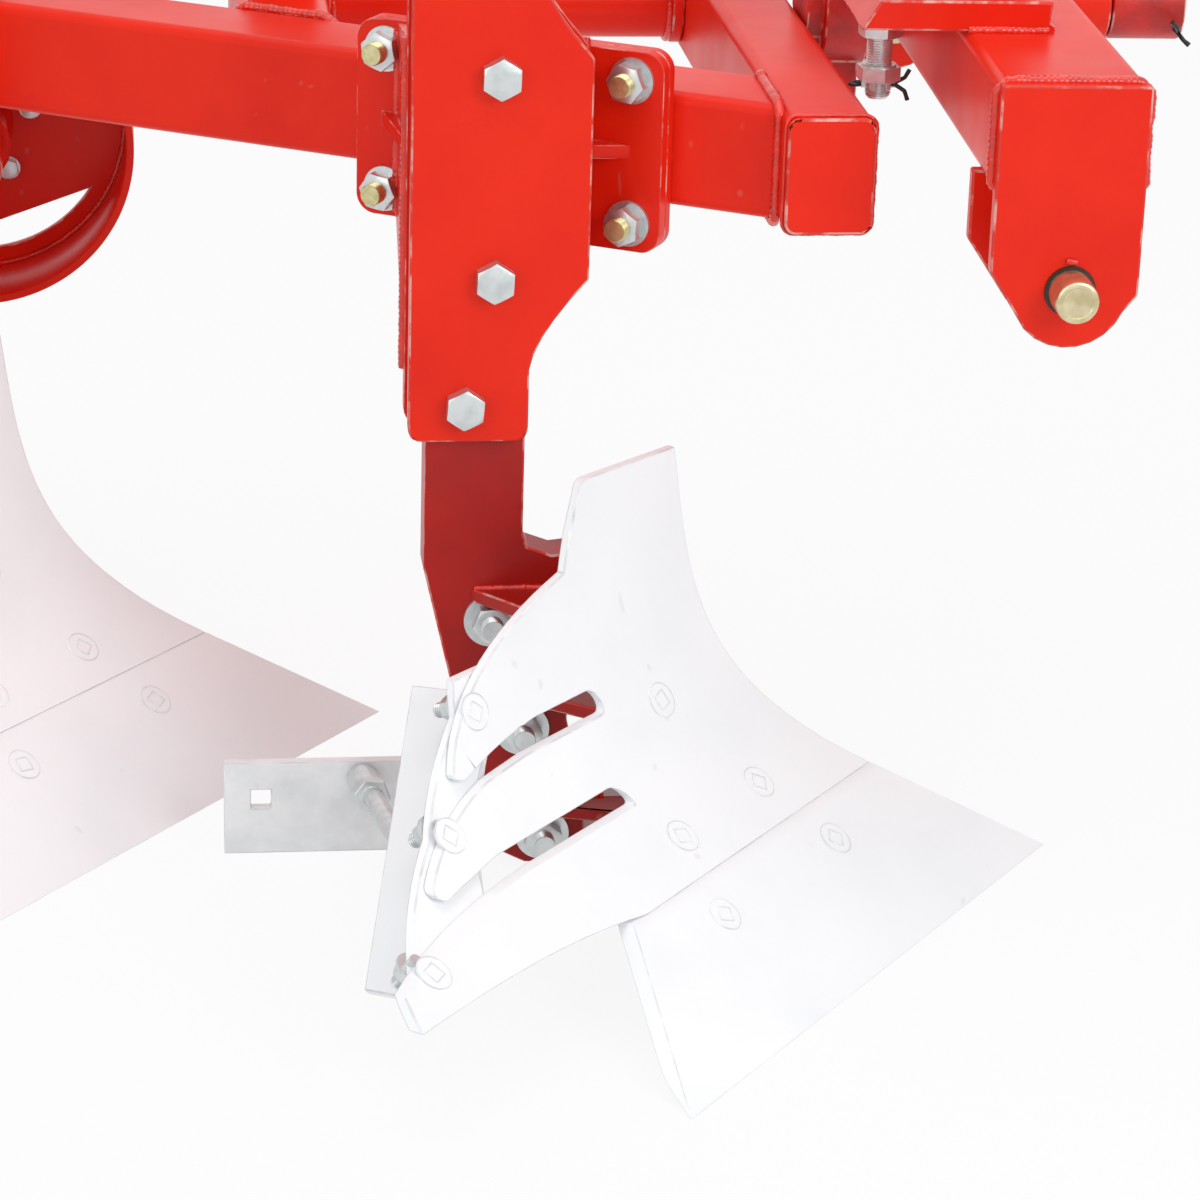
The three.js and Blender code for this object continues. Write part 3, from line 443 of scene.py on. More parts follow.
# ------------------------------------------------------------------ workshop
@dataclass
class Workshop:
    """Turns meshes into finished pieces, and counts them."""

    palette: Palette
    count: int = 0
    join_within: float = 0.25
    flat_within: float = 0.6
    most_corners: int = 12

    def object(self, name: str, shape: Shape, place: Matrix, finishes: Sequence[Finish],
               crease: float = CREASE) -> bpy.types.Object:
        """Makes an object at the origin, with its place in its mesh; the arguments are those of piece()."""
        bmesh.ops.transform(shape, matrix=place, verts=shape.verts)
        mesh = bpy.data.meshes.new(name)
        shape.to_mesh(mesh)
        shape.free()
        obj = bpy.data.objects.new(name, mesh)
        bpy.context.scene.collection.objects.link(obj)
        for finish in finishes:
            mesh.materials.append(self.palette(finish))
        self.smooth(mesh, crease)
        return obj

    def smooth(self, mesh: bpy.types.Mesh, crease: float) -> None:
        """Shades a mesh smooth between its sharp edges."""
        mesh.polygons.foreach_set("use_smooth", [True] * len(mesh.polygons))
        mesh.set_sharp_from_angle(angle=math.radians(crease))

    def round_edges(self, obj: bpy.types.Object, width: float, edge_finish: bool, angle: float) -> None:
        """Rounds the sharp edges; where there is a second finish, the rounded edges take it: wear with a painted
        highlight on the red parts, painted shade on the sheets.
        """
        bevel = obj.modifiers.new("rounded", "BEVEL")
        bevel.width = width * MM
        bevel.segments = 2
        bevel.limit_method = "ANGLE"
        bevel.angle_limit = math.radians(angle)
        bevel.use_clamp_overlap = False
        if edge_finish:
            bevel.material = 1
        obj.modifiers.new("even_shading", "WEIGHTED_NORMAL").keep_sharp = True
        self.bake(obj)

    def bake(self, obj: bpy.types.Object) -> None:
        """Turns an object's modifiers into plain mesh."""
        bpy.context.view_layer.update()
        graph = bpy.context.evaluated_depsgraph_get()
        baked = bpy.data.meshes.new_from_object(
            obj.evaluated_get(graph), preserve_all_data_layers=True, depsgraph=graph)
        obj.modifiers.clear()
        old = obj.data
        obj.data = baked
        baked.name = obj.name
        bpy.data.meshes.remove(old)

    def hand_over(self, obj: bpy.types.Object, body: Body, slot: Slot, *nodes: str) -> bpy.types.Object:
        """Lets a piece ride on its body and stand for its CAD nodes."""
        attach(obj, body.value)
        if nodes:
            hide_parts(*nodes)
        self.count += 1
        log.info("%s rides on %s: %d faces", obj.name, body.value, len(obj.data.polygons))
        return obj

    def piece(self, name: str, shape: Shape, place: Matrix, finishes: Sequence[Finish], slot: Slot,
              *nodes: str, body: Body = Body.FRAME, crease: float = CREASE, rounding: float = 0.0,
              angle: float = CREASE) -> bpy.types.Object:
        """Makes a finished piece from a mesh.

        Args:
            name: The piece's name.
            shape: Its mesh, in its own frame; freed here.
            place: From that frame to metres.
            finishes: The finish of its faces and, where there is a second, of its rounded edges, with painted highlight
                and wear on the red parts and painted shade on the sheets.
            slot: Its material slot; not used.
            *nodes: The CAD nodes it stands for.
            body: The body it rides on.
            crease: Edges sharper than this, in degrees, stay sharp.
            rounding: Edge rounding in millimetres, or 0 for none.
            angle: Edges sharper than this, in degrees, are rounded.

        Returns:
            The finished piece.
        """
        obj = self.object(name, shape, place, finishes, crease)
        if rounding:
            self.round_edges(obj, rounding, len(finishes) > 1, angle)
        return self.hand_over(obj, body, slot, *nodes)

    def carry_over(self, nodes: Sequence[str], rounding: float, finishes: Sequence[Finish] = (PAINT, EDGE_HIGHLIGHT_AND_WEAR),
                   slot: Slot = Slot.PAINT, body: Body = Body.FRAME) -> None:
        """Stands in for CAD nodes with copies whose edges are rounded; by default the rounded edges show wear and a
        painted highlight.
        """
        for node in nodes:
            self.piece(f"{node}_finished", self.cleaned(node), Matrix.Identity(4), finishes, slot, node,
                       body=body, rounding=rounding)

    def cleaned(self, node: str) -> Shape:
        """Gives a CAD node's mesh with its flat faces whole, ready to have its edges rounded."""
        shape = bmesh.new()
        shape.from_mesh(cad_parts[node].data)
        for layer in list(shape.loops.layers.uv.values()):
            shape.loops.layers.uv.remove(layer)
        bmesh.ops.remove_doubles(shape, verts=shape.verts, dist=self.join_within * MM)
        bmesh.ops.dissolve_limit(
            shape, angle_limit=math.radians(self.flat_within), verts=shape.verts, edges=shape.edges)
        bmesh.ops.triangulate(shape, faces=[face for face in shape.faces if len(face.verts) > self.most_corners])
        for face in shape.faces:
            face.material_index = 0
        return shape

    def grown(self, name: str, seed: Shape, place: Matrix, tree: Tree,
              inputs: dict[str, Any], slot: Slot, crease: float = CREASE,
              body: Body = Body.FRAME) -> bpy.types.Object:
        """Grows a piece from a seed mesh of points or paths, with a geometry tree and values for its inputs."""
        obj = self.object(name, seed, place, [])
        modifier = obj.modifiers.new("grown", "NODES")
        modifier.node_group = tree
        for item in tree.interface.items_tree:
            if item.item_type == "SOCKET" and item.in_out == "INPUT" and item.name in inputs:
                modifier[item.identifier] = inputs[item.name]
        self.bake(obj)
        self.smooth(obj.data, crease)
        return self.hand_over(obj, body, slot)


# ------------------------------------------------------------------ plain mesh shapes
def arc(centre: Flat, radius: float, start: float, end: float, steps: int) -> list[Flat]:
    """Gives points on an arc, both ends included; angles in degrees."""
    angles = [math.radians(start + (end - start) * i / steps) for i in range(steps + 1)]
    return [(centre[0] + radius * math.cos(a), centre[1] + radius * math.sin(a)) for a in angles]


def circle(radius: float, steps: int) -> list[Flat]:
    """Gives evenly spaced points on a circle round the origin."""
    return [(radius * math.cos(a), radius * math.sin(a)) for a in (2 * math.pi * k / steps for k in range(steps))]


def curve(start: Flat, pull: Flat, end: Flat, steps: int = 8) -> list[Flat]:
    """Gives points on a quadratic curve, without its start."""
    points = []
    for i in range(1, steps + 1):
        t = i / steps
        a, b, c = (1 - t) ** 2, 2 * t * (1 - t), t * t
        points.append((a * start[0] + b * pull[0] + c * end[0], a * start[1] + b * pull[1] + c * end[1]))
    return points


def turned(profile: Sequence[Flat], steps: int, closed: bool = False) -> Shape:
    """Turns a profile of radius and height, given from the bottom up the outside, round the Z axis.

    Args:
        profile: Radius and height of each point.
        steps: How many sides.
        closed: Whether the last point joins the first, as for a ring.

    Returns:
        A closed mesh with outward faces.
    """
    shape = bmesh.new()
    rings = [[shape.verts.new((x, y, height)) for x, y in circle(radius, steps)] for radius, height in profile]
    pairs = list(zip(rings, rings[1:])) + ([(rings[-1], rings[0])] if closed else [])
    for low, high in pairs:
        for k in range(steps):
            n = (k + 1) % steps
            shape.faces.new((low[k], low[n], high[n], high[k]))
    bmesh.ops.remove_doubles(shape, verts=shape.verts, dist=1e-4)
    bmesh.ops.recalc_face_normals(shape, faces=shape.faces)
    return shape


def bar(low: Point, high: Point) -> Shape:
    """Makes a square bar between two corners."""
    shape = bmesh.new()
    bmesh.ops.create_cube(shape, size=1.0)
    size = Vector(high) - Vector(low)
    middle = (Vector(high) + Vector(low)) / 2
    bmesh.ops.transform(shape, matrix=Matrix.Translation(middle) @ Matrix.Diagonal((*size, 1)), verts=shape.verts)
    return shape


def plate(outline: Sequence[Flat], holes: Sequence[Sequence[Flat]], thick: float) -> Shape:
    """Makes a flat plate in X and Y with holes, from height 0 up."""
    shape = bmesh.new()
    for loop in (outline, *holes):
        points = [shape.verts.new((x, y, 0)) for x, y in loop]
        for i, point in enumerate(points):
            shape.edges.new((point, points[(i + 1) % len(points)]))
    bmesh.ops.triangle_fill(shape, use_beauty=True, edges=shape.edges)
    bmesh.ops.dissolve_limit(shape, angle_limit=0.01, verts=shape.verts, edges=shape.edges)
    raised = bmesh.ops.extrude_face_region(shape, geom=shape.faces[:])
    tops = [v for v in raised["geom"] if isinstance(v, bmesh.types.BMVert)]
    bmesh.ops.translate(shape, vec=(0, 0, thick), verts=tops)
    bmesh.ops.recalc_face_normals(shape, faces=shape.faces)
    return shape


def merged(parts: Sequence[Shape]) -> Shape:
    """Puts several meshes into one."""
    whole = bmesh.new()
    for part in parts:
        mesh = bpy.data.meshes.new("part")
        part.to_mesh(mesh)
        part.free()
        whole.from_mesh(mesh)
        bpy.data.meshes.remove(mesh)
    return whole


def moved(shape: Shape, matrix: Matrix) -> Shape:
    """Moves a mesh and gives it back."""
    bmesh.ops.transform(shape, matrix=matrix, verts=shape.verts)
    return shape


def facing(direction: Sequence[float]) -> Matrix:
    """Gives the turn that points Z along a direction."""
    return Vector(direction).normalized().to_track_quat("Z", "Y").to_matrix().to_4x4()


def points_with_axis(spots: Sequence[tuple[Sequence[float], Sequence[float]]], place: Matrix) -> Shape:
    """Makes seed points, in their own frame, that keep the direction their fastener faces in the plough."""
    seed = bmesh.new()
    layer = seed.verts.layers.float_vector.new("axis")
    turn = place.to_3x3()
    for at, axis in spots:
        seed.verts.new(at)[layer] = (turn @ Vector(axis)).normalized()
    return seed


def path_mesh(paths: Sequence[Path]) -> Shape:
    """Makes a seed mesh of paths, each closed or not."""
    seed = bmesh.new()
    for points, closed in paths:
        verts = [seed.verts.new(p) for p in points]
        for a, b in zip(verts, verts[1:]):
            seed.edges.new((a, b))
        if closed:
            seed.edges.new((verts[-1], verts[0]))
    return seed


# ------------------------------------------------------------------ geometry trees
WHOLE_TURN: Flat = (0.0, 6.28)
SEEDED_TURN = (("Least Turn", "Float", WHOLE_TURN[0]), ("Most Turn", "Float", WHOLE_TURN[1]), ("Seed", "Int", 1))


class Trees:
    """The geometry trees that make what repeats or follows a path.

    The shares are of a hexagon's width across flats (chamfer), of a thread's radius (core), of its pitch (ridge),
    of a flush head's radius (neck) and of a weld's ripple pitch (weld_step).
    """

    round_sides = 40
    thread_sides = 24
    head_sides = 36
    chamfer = 0.47
    core = 0.9
    ridge = 0.42
    neck = 0.62
    weld_step = 0.26

    def __init__(self) -> None:
        """Builds each tree once."""
        self.fastener = self._fastener()
        self.flush_bolt = self._flush_bolt()
        self.weld = self._weld()

    def _along_axis(self, sheet: NodeSheet, get: Sockets) -> Socket:
        """Gives each point's rotation: along its axis, turned by a seeded amount."""
        axis = sheet.make("GeometryNodeInputNamedAttribute", {"Name": "axis"}, data_type="FLOAT_VECTOR")
        aim = sheet.make("FunctionNodeAlignRotationToVector", {"Vector": axis}, axis="Z")
        turn = sheet.add("FunctionNodeRandomValue", {
            "Min": get["Least Turn"], "Max": get["Most Turn"], "Seed": get["Seed"]}).outputs[1]
        spin = sheet.make("FunctionNodeAxisAngleToRotation", {"Axis": (0, 0, 1), "Angle": turn})
        return sheet.make("FunctionNodeRotateRotation", {"Rotation": aim, "Rotate By": spin}, rotation_space="LOCAL")

    def _place(self, sheet: NodeSheet, get: Sockets, out: bpy.types.Node,
               shape: Socket) -> Tree:
        """Places a shape on the seed points and ends the tree."""
        placed = sheet.make("GeometryNodeInstanceOnPoints", {
            "Points": get["Geometry"], "Instance": shape, "Rotation": self._along_axis(sheet, get)})
        sheet.feed(out.inputs["Geometry"], sheet.realised(placed))
        return sheet.tree

    def _fastener(self) -> Tree:
        """Builds hexagon heads or nuts with a washer, a threaded end and a shank."""
        sheet, given, out = new_group(
            "Fasteners",
            "GeometryNodeTree",
            [("Geometry", "Geometry", None), ("Across Flats", "Float", 0.03), ("Height", "Float", 0.013),
             ("Washer Radius", "Float", 0.019), ("Washer Thickness", "Float", 0.003),
             ("Thread Radius", "Float", 0.01), ("Thread End", "Float", 0.02), ("Shank", "Float", 0.01),
             ("Thread Pitch", "Float", 0.0022), *SEEDED_TURN, ("Metal", "Material", None),
             ("End Metal", "Material", None)],
            [("Geometry", "Geometry")],
        )
        get = given.outputs
        head = sheet.coat(self._head(sheet, get), get["Metal"])
        end = sheet.coat(self._end(sheet, get), get["End Metal"])
        return self._place(sheet, get, out, sheet.join(head, end))

    def _head(self, sheet: NodeSheet, get: Sockets) -> Socket:
        """Gives a hexagon with its corners rounded off by a cone, on its washer."""
        height, under = get["Height"], get["Washer Thickness"]
        corner = sheet.sums("DIVIDE", get["Across Flats"], math.sqrt(3))
        lifted = sheet.lift(sheet.cylinder(6, corner, height), sheet.plus(under, sheet.times(height, 0.5)))
        flat = sheet.times(get["Across Flats"], self.chamfer)
        cone = sheet.make("GeometryNodeMeshCone", {
            "Vertices": self.round_sides, "Radius Top": flat,
            "Radius Bottom": sheet.plus(flat, sheet.times(height, 2.0)), "Depth": height})
        on_washer = sheet.lift(cone, sheet.plus(under, 0.01 * MM))
        hexagon = sheet.make("GeometryNodeMeshBoolean", {1: [lifted, on_washer]}, operation="INTERSECT", solver="EXACT")
        washer = sheet.cylinder(self.round_sides, get["Washer Radius"], under)
        return sheet.join(hexagon, sheet.lift(washer, sheet.times(under, 0.5)))

    def _end(self, sheet: NodeSheet, get: Sockets) -> Socket:
        """Gives the shank and the threaded end, with a ring for each turn of the thread."""
        past, shank, pitch = get["Thread End"], get["Shank"], get["Thread Pitch"]
        core = sheet.times(get["Thread Radius"], self.core)
        rod = sheet.cylinder(self.thread_sides, core, sheet.plus(shank, past))
        rod_up = sheet.lift(rod, sheet.times(sheet.minus(past, shank), 0.5))
        ring = sheet.tube(sheet.loop(self.thread_sides, core),
                          sheet.loop(5, sheet.times(pitch, self.ridge)))
        stack = sheet.make("GeometryNodeMeshLine", {
            "Count": sheet.plus(sheet.sums("DIVIDE", past, pitch), 0.5),
            "Offset": sheet.make("ShaderNodeCombineXYZ", {"Z": sheet.times(pitch, -1.0)}),
            "Start Location": sheet.make("ShaderNodeCombineXYZ", {"Z": sheet.minus(past, sheet.times(pitch, 0.8))})})
        threads = sheet.make("GeometryNodeInstanceOnPoints", {"Points": stack, "Instance": ring})
        return sheet.join(rod_up, sheet.realised(threads))

    def _flush_bolt(self) -> Tree:
        """Builds countersunk bolt heads: a square neck inside a ring, almost flush."""
        sheet, given, out = new_group(
            "Flush Bolts",
            "GeometryNodeTree",
            [("Geometry", "Geometry", None), ("Radius", "Float", 0.015), ("Proud", "Float", 0.0006),
             ("Ring", "Float", 0.0008), *SEEDED_TURN, ("Metal", "Material", None), ("Ring Metal", "Material", None)],
            [("Geometry", "Geometry")],
        )
        get = given.outputs
        radius, proud = get["Radius"], get["Proud"]
        disc = sheet.cylinder(self.head_sides, radius, sheet.times(proud, 4.0))
        disc_up = sheet.lift(disc, sheet.times(proud, -1.0))
        section = sheet.loop(8, get["Ring"])
        ring = sheet.tube(sheet.loop(self.head_sides, radius), section)
        square = sheet.tube(sheet.loop(4, sheet.times(radius, self.neck)), section)
        rings = sheet.join(sheet.lift(ring, sheet.times(get["Ring"], 0.3)),
                           sheet.lift(square, proud))
        coated = sheet.join(sheet.coat(disc_up, get["Metal"]), sheet.coat(rings, get["Ring Metal"]))
        return self._place(sheet, get, out, coated)

    def _weld(self) -> Tree:
        """Builds weld beads with ripples along their paths."""
        sheet, given, out = new_group(
            "Weld Beads",
            "GeometryNodeTree",
            [("Geometry", "Geometry", None), ("Radius", "Float", 0.0045), ("Ripple Pitch", "Float", 0.005),
             ("Ripple Depth", "Float", 0.16), ("Wander", "Float", 0.0012), ("Seed", "Float", 1.0),
             ("Metal", "Material", None)],
            [("Geometry", "Geometry")],
        )
        get = given.outputs
        line = sheet.make("GeometryNodeMeshToCurve", {"Mesh": get["Geometry"]})
        even = sheet.make("GeometryNodeResampleCurve", {
            "Curve": line, "Length": sheet.times(get["Ripple Pitch"], self.weld_step)}, mode="LENGTH")
        noise = sheet.add("ShaderNodeTexNoise", {"W": get["Seed"], "Scale": 90.0, "Detail": 2.0}, noise_dimensions="4D")
        centred = sheet.make("ShaderNodeVectorMath", {
            0: noise.outputs["Color"], 1: (0.5, 0.5, 0.5)}, operation="SUBTRACT")
        drift = sheet.make("ShaderNodeVectorMath", {0: centred, "Scale": get["Wander"]}, operation="SCALE")
        wandering = sheet.make("GeometryNodeSetPosition", {"Geometry": even, "Offset": drift})
        along = sheet.add("GeometryNodeSplineParameter").outputs["Length"]
        phase = sheet.sums("FRACT", sheet.sums("DIVIDE", along, get["Ripple Pitch"]))
        swell = sheet.times(sheet.minus(phase, 0.5), get["Ripple Depth"])
        uneven = sheet.times(sheet.minus(noise.outputs["Fac"], 0.5), 0.7)
        bead = sheet.make("GeometryNodeCurveToMesh", {
            "Curve": wandering, "Profile Curve": sheet.loop(9, get["Radius"]),
            "Scale": sheet.plus(1.0, sheet.plus(swell, uneven)), "Fill Caps": True})
        sheet.feed(out.inputs["Geometry"], sheet.coat(sheet.realised(bead), get["Metal"]))
        return sheet.tree


@dataclass
class Makers:
    """What every sub-assembly builds with."""

    shop: Workshop
    trees: Trees
    layout: Layout

    def bolts(self, name: str, spots: Sequence[tuple[Point, Point]], place: Matrix, *, flats: float, height: float,
              washer: float = 1.0, washer_thick: float = 0.2, thread: float = 10.0, thread_end: float = 0.0,
              shank: float = 8.0, turn: Flat = WHOLE_TURN, seed: int = 1, end_metal: Finish = YELLOW_ZINC,
              body: Body = Body.FRAME) -> bpy.types.Object:
        """Makes a set of hexagon fasteners; sizes in millimetres.

        Args:
            name: The piece's name.
            spots: Each fastener's place and the direction of its head, in their own frame.
            place: From that frame to metres.
            flats: Width across flats.
            height: Height of the hexagon.
            washer: The washer's radius.
            washer_thick: The washer's thickness.
            thread: The thread's radius.
            thread_end: How far the thread stands out from the washer's foot.
            shank: How far the bolt reaches inwards.
            turn: Least and most turn about the axis, in radians.
            seed: Picks the turns.
            end_metal: The thread's finish.
            body: The body the fasteners ride on.

        Returns:
            The finished piece.
        """
        colour = self.shop.palette
        return self.shop.grown(
            name, points_with_axis(spots, place), place, self.trees.fastener,
            {"Across Flats": flats * MM, "Height": height * MM, "Washer Radius": washer * MM,
             "Washer Thickness": washer_thick * MM, "Thread Radius": thread * MM,
             "Thread End": max(thread_end, height * 0.5) * MM, "Shank": shank * MM,
             "Least Turn": turn[0], "Most Turn": turn[1], "Seed": seed,
             "Metal": colour(ZINC), "End Metal": colour(end_metal)},
            Slot.ZINC, body=body)

    def welds(self, name: str, paths: Sequence[Path], place: Matrix, radius: float, seed: float,
              body: Body = Body.FRAME) -> bpy.types.Object:
        """Makes weld beads along paths; sizes in millimetres."""
        return self.shop.grown(
            name, path_mesh(paths), place, self.trees.weld,
            {"Radius": radius * MM, "Seed": seed, "Metal": self.shop.palette(WELD)}, Slot.PAINT, BEAD_CREASE, body)

    def split_pin(self, name: str, legs: Sequence[Sequence[Point]], place: Matrix, radius: float) -> bpy.types.Object:
        """Makes a split pin from the paths of its legs; sizes in millimetres."""
        return self.shop.grown(
            name, path_mesh([(leg, False) for leg in legs]), place, self.trees.weld,
            {"Radius": radius * MM, "Ripple Depth": 0.0, "Wander": 0.0, "Metal": self.shop.palette(BLACK_PIN)},
            Slot.ZINC, BEAD_CREASE)


# ------------------------------------------------------------------ furrow bodies
@dataclass(frozen=True)
class WorkingSurface:
    """The twisted surface that the share and the moldboard follow; lengths in millimetres."""

    shin_y: float = 22.8
    tip_x: float = 495.0
    joint_x: float = 335.0
    joint_z: float = 91.0
    top_z: float = 394.0
    top_x: float = 146.0
    share_angle: float = math.radians(51.5)
    top_angle: float = math.radians(42.6)

    def shin(self, z: float) -> float:
        """Gives the shin's distance forward at a height."""
        if z <= self.joint_z:
            return self.tip_x + (self.joint_x - self.tip_x) * z / self.joint_z
        rest = max(0.0, (self.top_z - z) / (self.top_z - self.joint_z))
        return self.top_x + 40 * rest + (self.joint_x - self.top_x - 40) * rest ** 3.7

    def angle(self, z: float) -> float:
        """Gives the level line's angle to the travel at a height."""
        t = min(1.0, max(0.0, (z - self.joint_z) / (self.top_z - self.joint_z)))
        return self.share_angle + (self.top_angle - self.share_angle) * t

    def at(self, u: float, z: float, behind: float = 0.0) -> Vector:
        """Gives the point a distance along a level line, and a level distance behind the surface."""
        a = self.angle(z)
        return Vector((
            self.shin(z) - u * math.cos(a) - behind * math.sin(a),
            self.shin_y - u * math.sin(a) + behind * math.cos(a),
            z))

    def behind(self, point: Vector) -> float:
        """Gives how far a point lies behind the surface, measured level."""
        a = self.angle(point.z)
        return (self.shin(point.z) - point.x) * math.sin(a) - (self.shin_y - point.y) * math.cos(a)

    def lean(self, z: float) -> float:
        """Gives how much further a sheet reaches, measured level, where the surface leans back."""
        run = (self.shin(z - 2) - self.shin(z + 2)) * math.sin(self.angle(z))
        return math.hypot(run, 4) / 4

    def front(self, u: float, z: float) -> Vector:
        """Gives the surface's direction towards the soil."""
        along = self.at(u + 2, z) - self.at(u - 2, z)
        up = self.at(u, z + 2) - self.at(u, z - 2)
        normal = along.cross(up).normalized()
        return normal if normal.dot(self.at(u, z, -10) - self.at(u, z)) > 0 else -normal


@dataclass
class FurrowBody:
    """One body: brackets on the beam, leg, share, slotted moldboard, landside and stay."""

    index: int
    makers: Makers
    surface: WorkingSurface = field(default_factory=WorkingSurface)
    board_thick: float = 8.0
    share_thick: float = 10.0
    sheet_crease: float = 38.0
    sheet_angle: float = 48.0
    grid_u: float = 20.0
    grid_z: float = 12.0
    leg_face: float = 14.3
    far_face: float = 68.6
    tie_top: Flat = (247.0, 268.0)
    tie_foot: Flat = (521.0, 112.0)
    tie_angle: float = math.radians(47.0)
    tie_gap: float = 0.9
    tie_sink: float = 3.0
    tie_lap: float = 17.0
    tie_bolts: tuple[Flat, ...] = ((324.0, 248.0), (439.0, 180.0), (594.0, 122.0))
    flange_thick: float = 12.3
    mount_thick: float = 12.3
    flush_radius: float = 15.5
    landside_out: float = 52.4
    rib_thick: float = 12.0
    web_weld_y: float = 13.6

    def place(self) -> Matrix:
        """Gives the body's frame."""
        return self.makers.layout.station(self.index)

    def tag(self, name: str) -> str:
        """Gives a piece's name on this body."""
        return f"{name}_{self.index + 1}"

    def board_outline(self) -> list[Flat]:
        """Gives the moldboard's outline with its two slots, distance along the level lines and height."""
        low, high = 140.0, 157.0
        low_two, high_two = 203.0, 224.0
        joint = self.surface.joint_z + 0.4
        points = [(0.0, joint), (387.0, joint)]
        points += curve((387, joint), (480, 104), (674, 102), 12)
        points += [(640, 119)]
        points += curve((640, 119), (520, low - 2), (400, low), 10)
        points += arc((254, (low + high) / 2), (high - low) / 2, 270, 90, 10)
        points += [(420, high - 1), (505, 148)]
        points += curve((505, 148), (516, 152), (503, 158), 4)
        points += curve((503, 158), (420, 190), (360, low_two - 4), 10)
        points += [(300, low_two)]
        points += arc((192, (low_two + high_two) / 2), (high_two - low_two) / 2, 270, 90, 10)
        points += [(262, high_two)]
        points += curve((262, high_two), (320, high_two - 4), (378, low_two + 3), 8)
        points += curve((378, low_two + 3), (395, low_two + 6), (384, low_two + 12), 4)
        points += curve((384, low_two + 12), (300, 290), (166, 322), 14)
        points += [(150, 352), (130, 384)]
        points += curve((130, 384), (126, 394), (116, 394), 5)
        points += [(0.0, 394.0)]
        return points

    def follow(self, outline: Sequence[Flat], near: Callable[[float], float],
               far: Callable[[float], float]) -> Shape:
        """Makes a sheet that follows the surface.

        Args:
            outline: Distance along the level lines and height of each corner.
            near: Level depth of the soil side at a height.
            far: Level depth of the back at a height.

        Returns:
            The sheet's mesh.
        """
        shape = bmesh.new()
        shape.faces.new([shape.verts.new((u, z, 0)) for u, z in outline])
        for axis, step in ((0, self.grid_u), (1, self.grid_z)):
            low = min(p[axis] for p in outline)
            high = max(p[axis] for p in outline)
            normal = (1, 0, 0) if axis == 0 else (0, 1, 0)
            for k in range(1, int((high - low) / step) + 1):
                spot = [0.0, 0.0, 0.0]
                spot[axis] = low + k * step - 0.37
                bmesh.ops.bisect_plane(shape, geom=shape.faces[:] + shape.edges[:] + shape.verts[:], dist=1e-4,
                                       plane_co=spot, plane_no=normal)
        bmesh.ops.triangulate(shape, faces=[f for f in shape.faces if len(f.verts) > 4])
        raised = bmesh.ops.extrude_face_region(shape, geom=shape.faces[:])
        backs = {v for v in raised["geom"] if isinstance(v, bmesh.types.BMVert)}
        for vert in shape.verts:
            u, z = vert.co.x, vert.co.y
            vert.co = self.surface.at(u, z, far(z) if vert in backs else near(z))
        bmesh.ops.recalc_face_normals(shape, faces=shape.faces)
        return shape

    def build(self) -> None:
        """Builds the body's pieces."""
        self.build_sheets()
        self.dress_plates()
        self.build_bolts()
        self.build_welds()

    def build_sheets(self) -> None:
        """Builds the share, the moldboard and the bar that ties its strips together."""
        s = self.surface
        board = self.follow(self.board_outline(), lambda z: 0.0,
                            lambda z: self.board_thick * s.lean(max(z, s.joint_z + 4)))
        full = self.share_thick * s.lean(s.joint_z / 2)
        tip = self.follow([(-14, 0.4), (620, 0.4), (410, s.joint_z), (0, s.joint_z)], lambda z: 0.0,
                          lambda z: min(full, 1.5 + z * 0.9))
        (high_u, high_z), (middle_u, middle_z), (low_u, low_z) = self.tie_bolts
        lap = self.tie_lap
        strip = self.follow(
            [(self.tie_top[0] - 16, self.tie_top[1] + 4), (self.tie_foot[0] - 16, self.tie_foot[1] + 2),
             (low_u + lap + 5, low_z - 5), (middle_u + lap, middle_z - 2), (high_u + lap, high_z - 4),
             (high_u, self.tie_top[1] + 4)],
            self.tie_depth, self.tie_back)
        tie = merged([strip, self.wing()])
        # The sheets' rounded edges take grey painted shade.
        for name, shape, rounding in (("moldboard", board, 1.3), ("share", tip, 0.6), ("tie_bar", tie, 1.3)):
            self.makers.shop.piece(
                self.tag(f"{name}_sheet"), shape, self.place(), (STEEL, STEEL_EDGE_SHADE), Slot.STEEL, self.tag(name),
                crease=self.sheet_crease, rounding=rounding, angle=self.sheet_angle)

    def tie_depth(self, z: float) -> float:
        """Gives the depth of the strip's front face behind the surface."""
        return self.board_thick * self.surface.lean(z) + self.tie_gap

    def tie_back(self, z: float) -> float:
        """Gives the depth of the strip's back behind the surface."""
        return self.tie_depth(z) + self.board_thick

    def root_reach(self, place: Matrix, along: float) -> float:
        """Gives how far out, at a place along the wing's root, both its faces are inside the strip."""
        out = -20.0
        while out < 100:
            points = [place @ Vector((along, out, t)) for t in (0.0, self.board_thick)]
            if all(self.surface.behind(p) > self.tie_depth(p.z) + self.tie_sink for p in points):
                break
            out += 0.5
        return out

    def wing(self) -> Shape:
        """Makes the flat wing of the tie, which stands back from its strip."""
        top, foot = self.surface.at(*self.tie_top), self.surface.at(*self.tie_foot)
        along = (foot - top).normalized()
        length = (foot - top).length
        across = Vector((-math.sin(self.tie_angle), math.cos(self.tie_angle), 0))
        across = (across - along * across.dot(along)).normalized()
        place = Matrix((along, across, along.cross(across))).transposed().to_4x4()
        place.translation = top
        stops = [18 + (length - 16) * k / 14 for k in range(15)]
        edge = [(x, self.root_reach(place, x)) for x in stops]
        edge += [(length + 31, 75.0), (length + 13, 125.0), (2.0, 100.0), (22.0, 40.0)]
        return moved(plate(edge, [], self.board_thick), place)

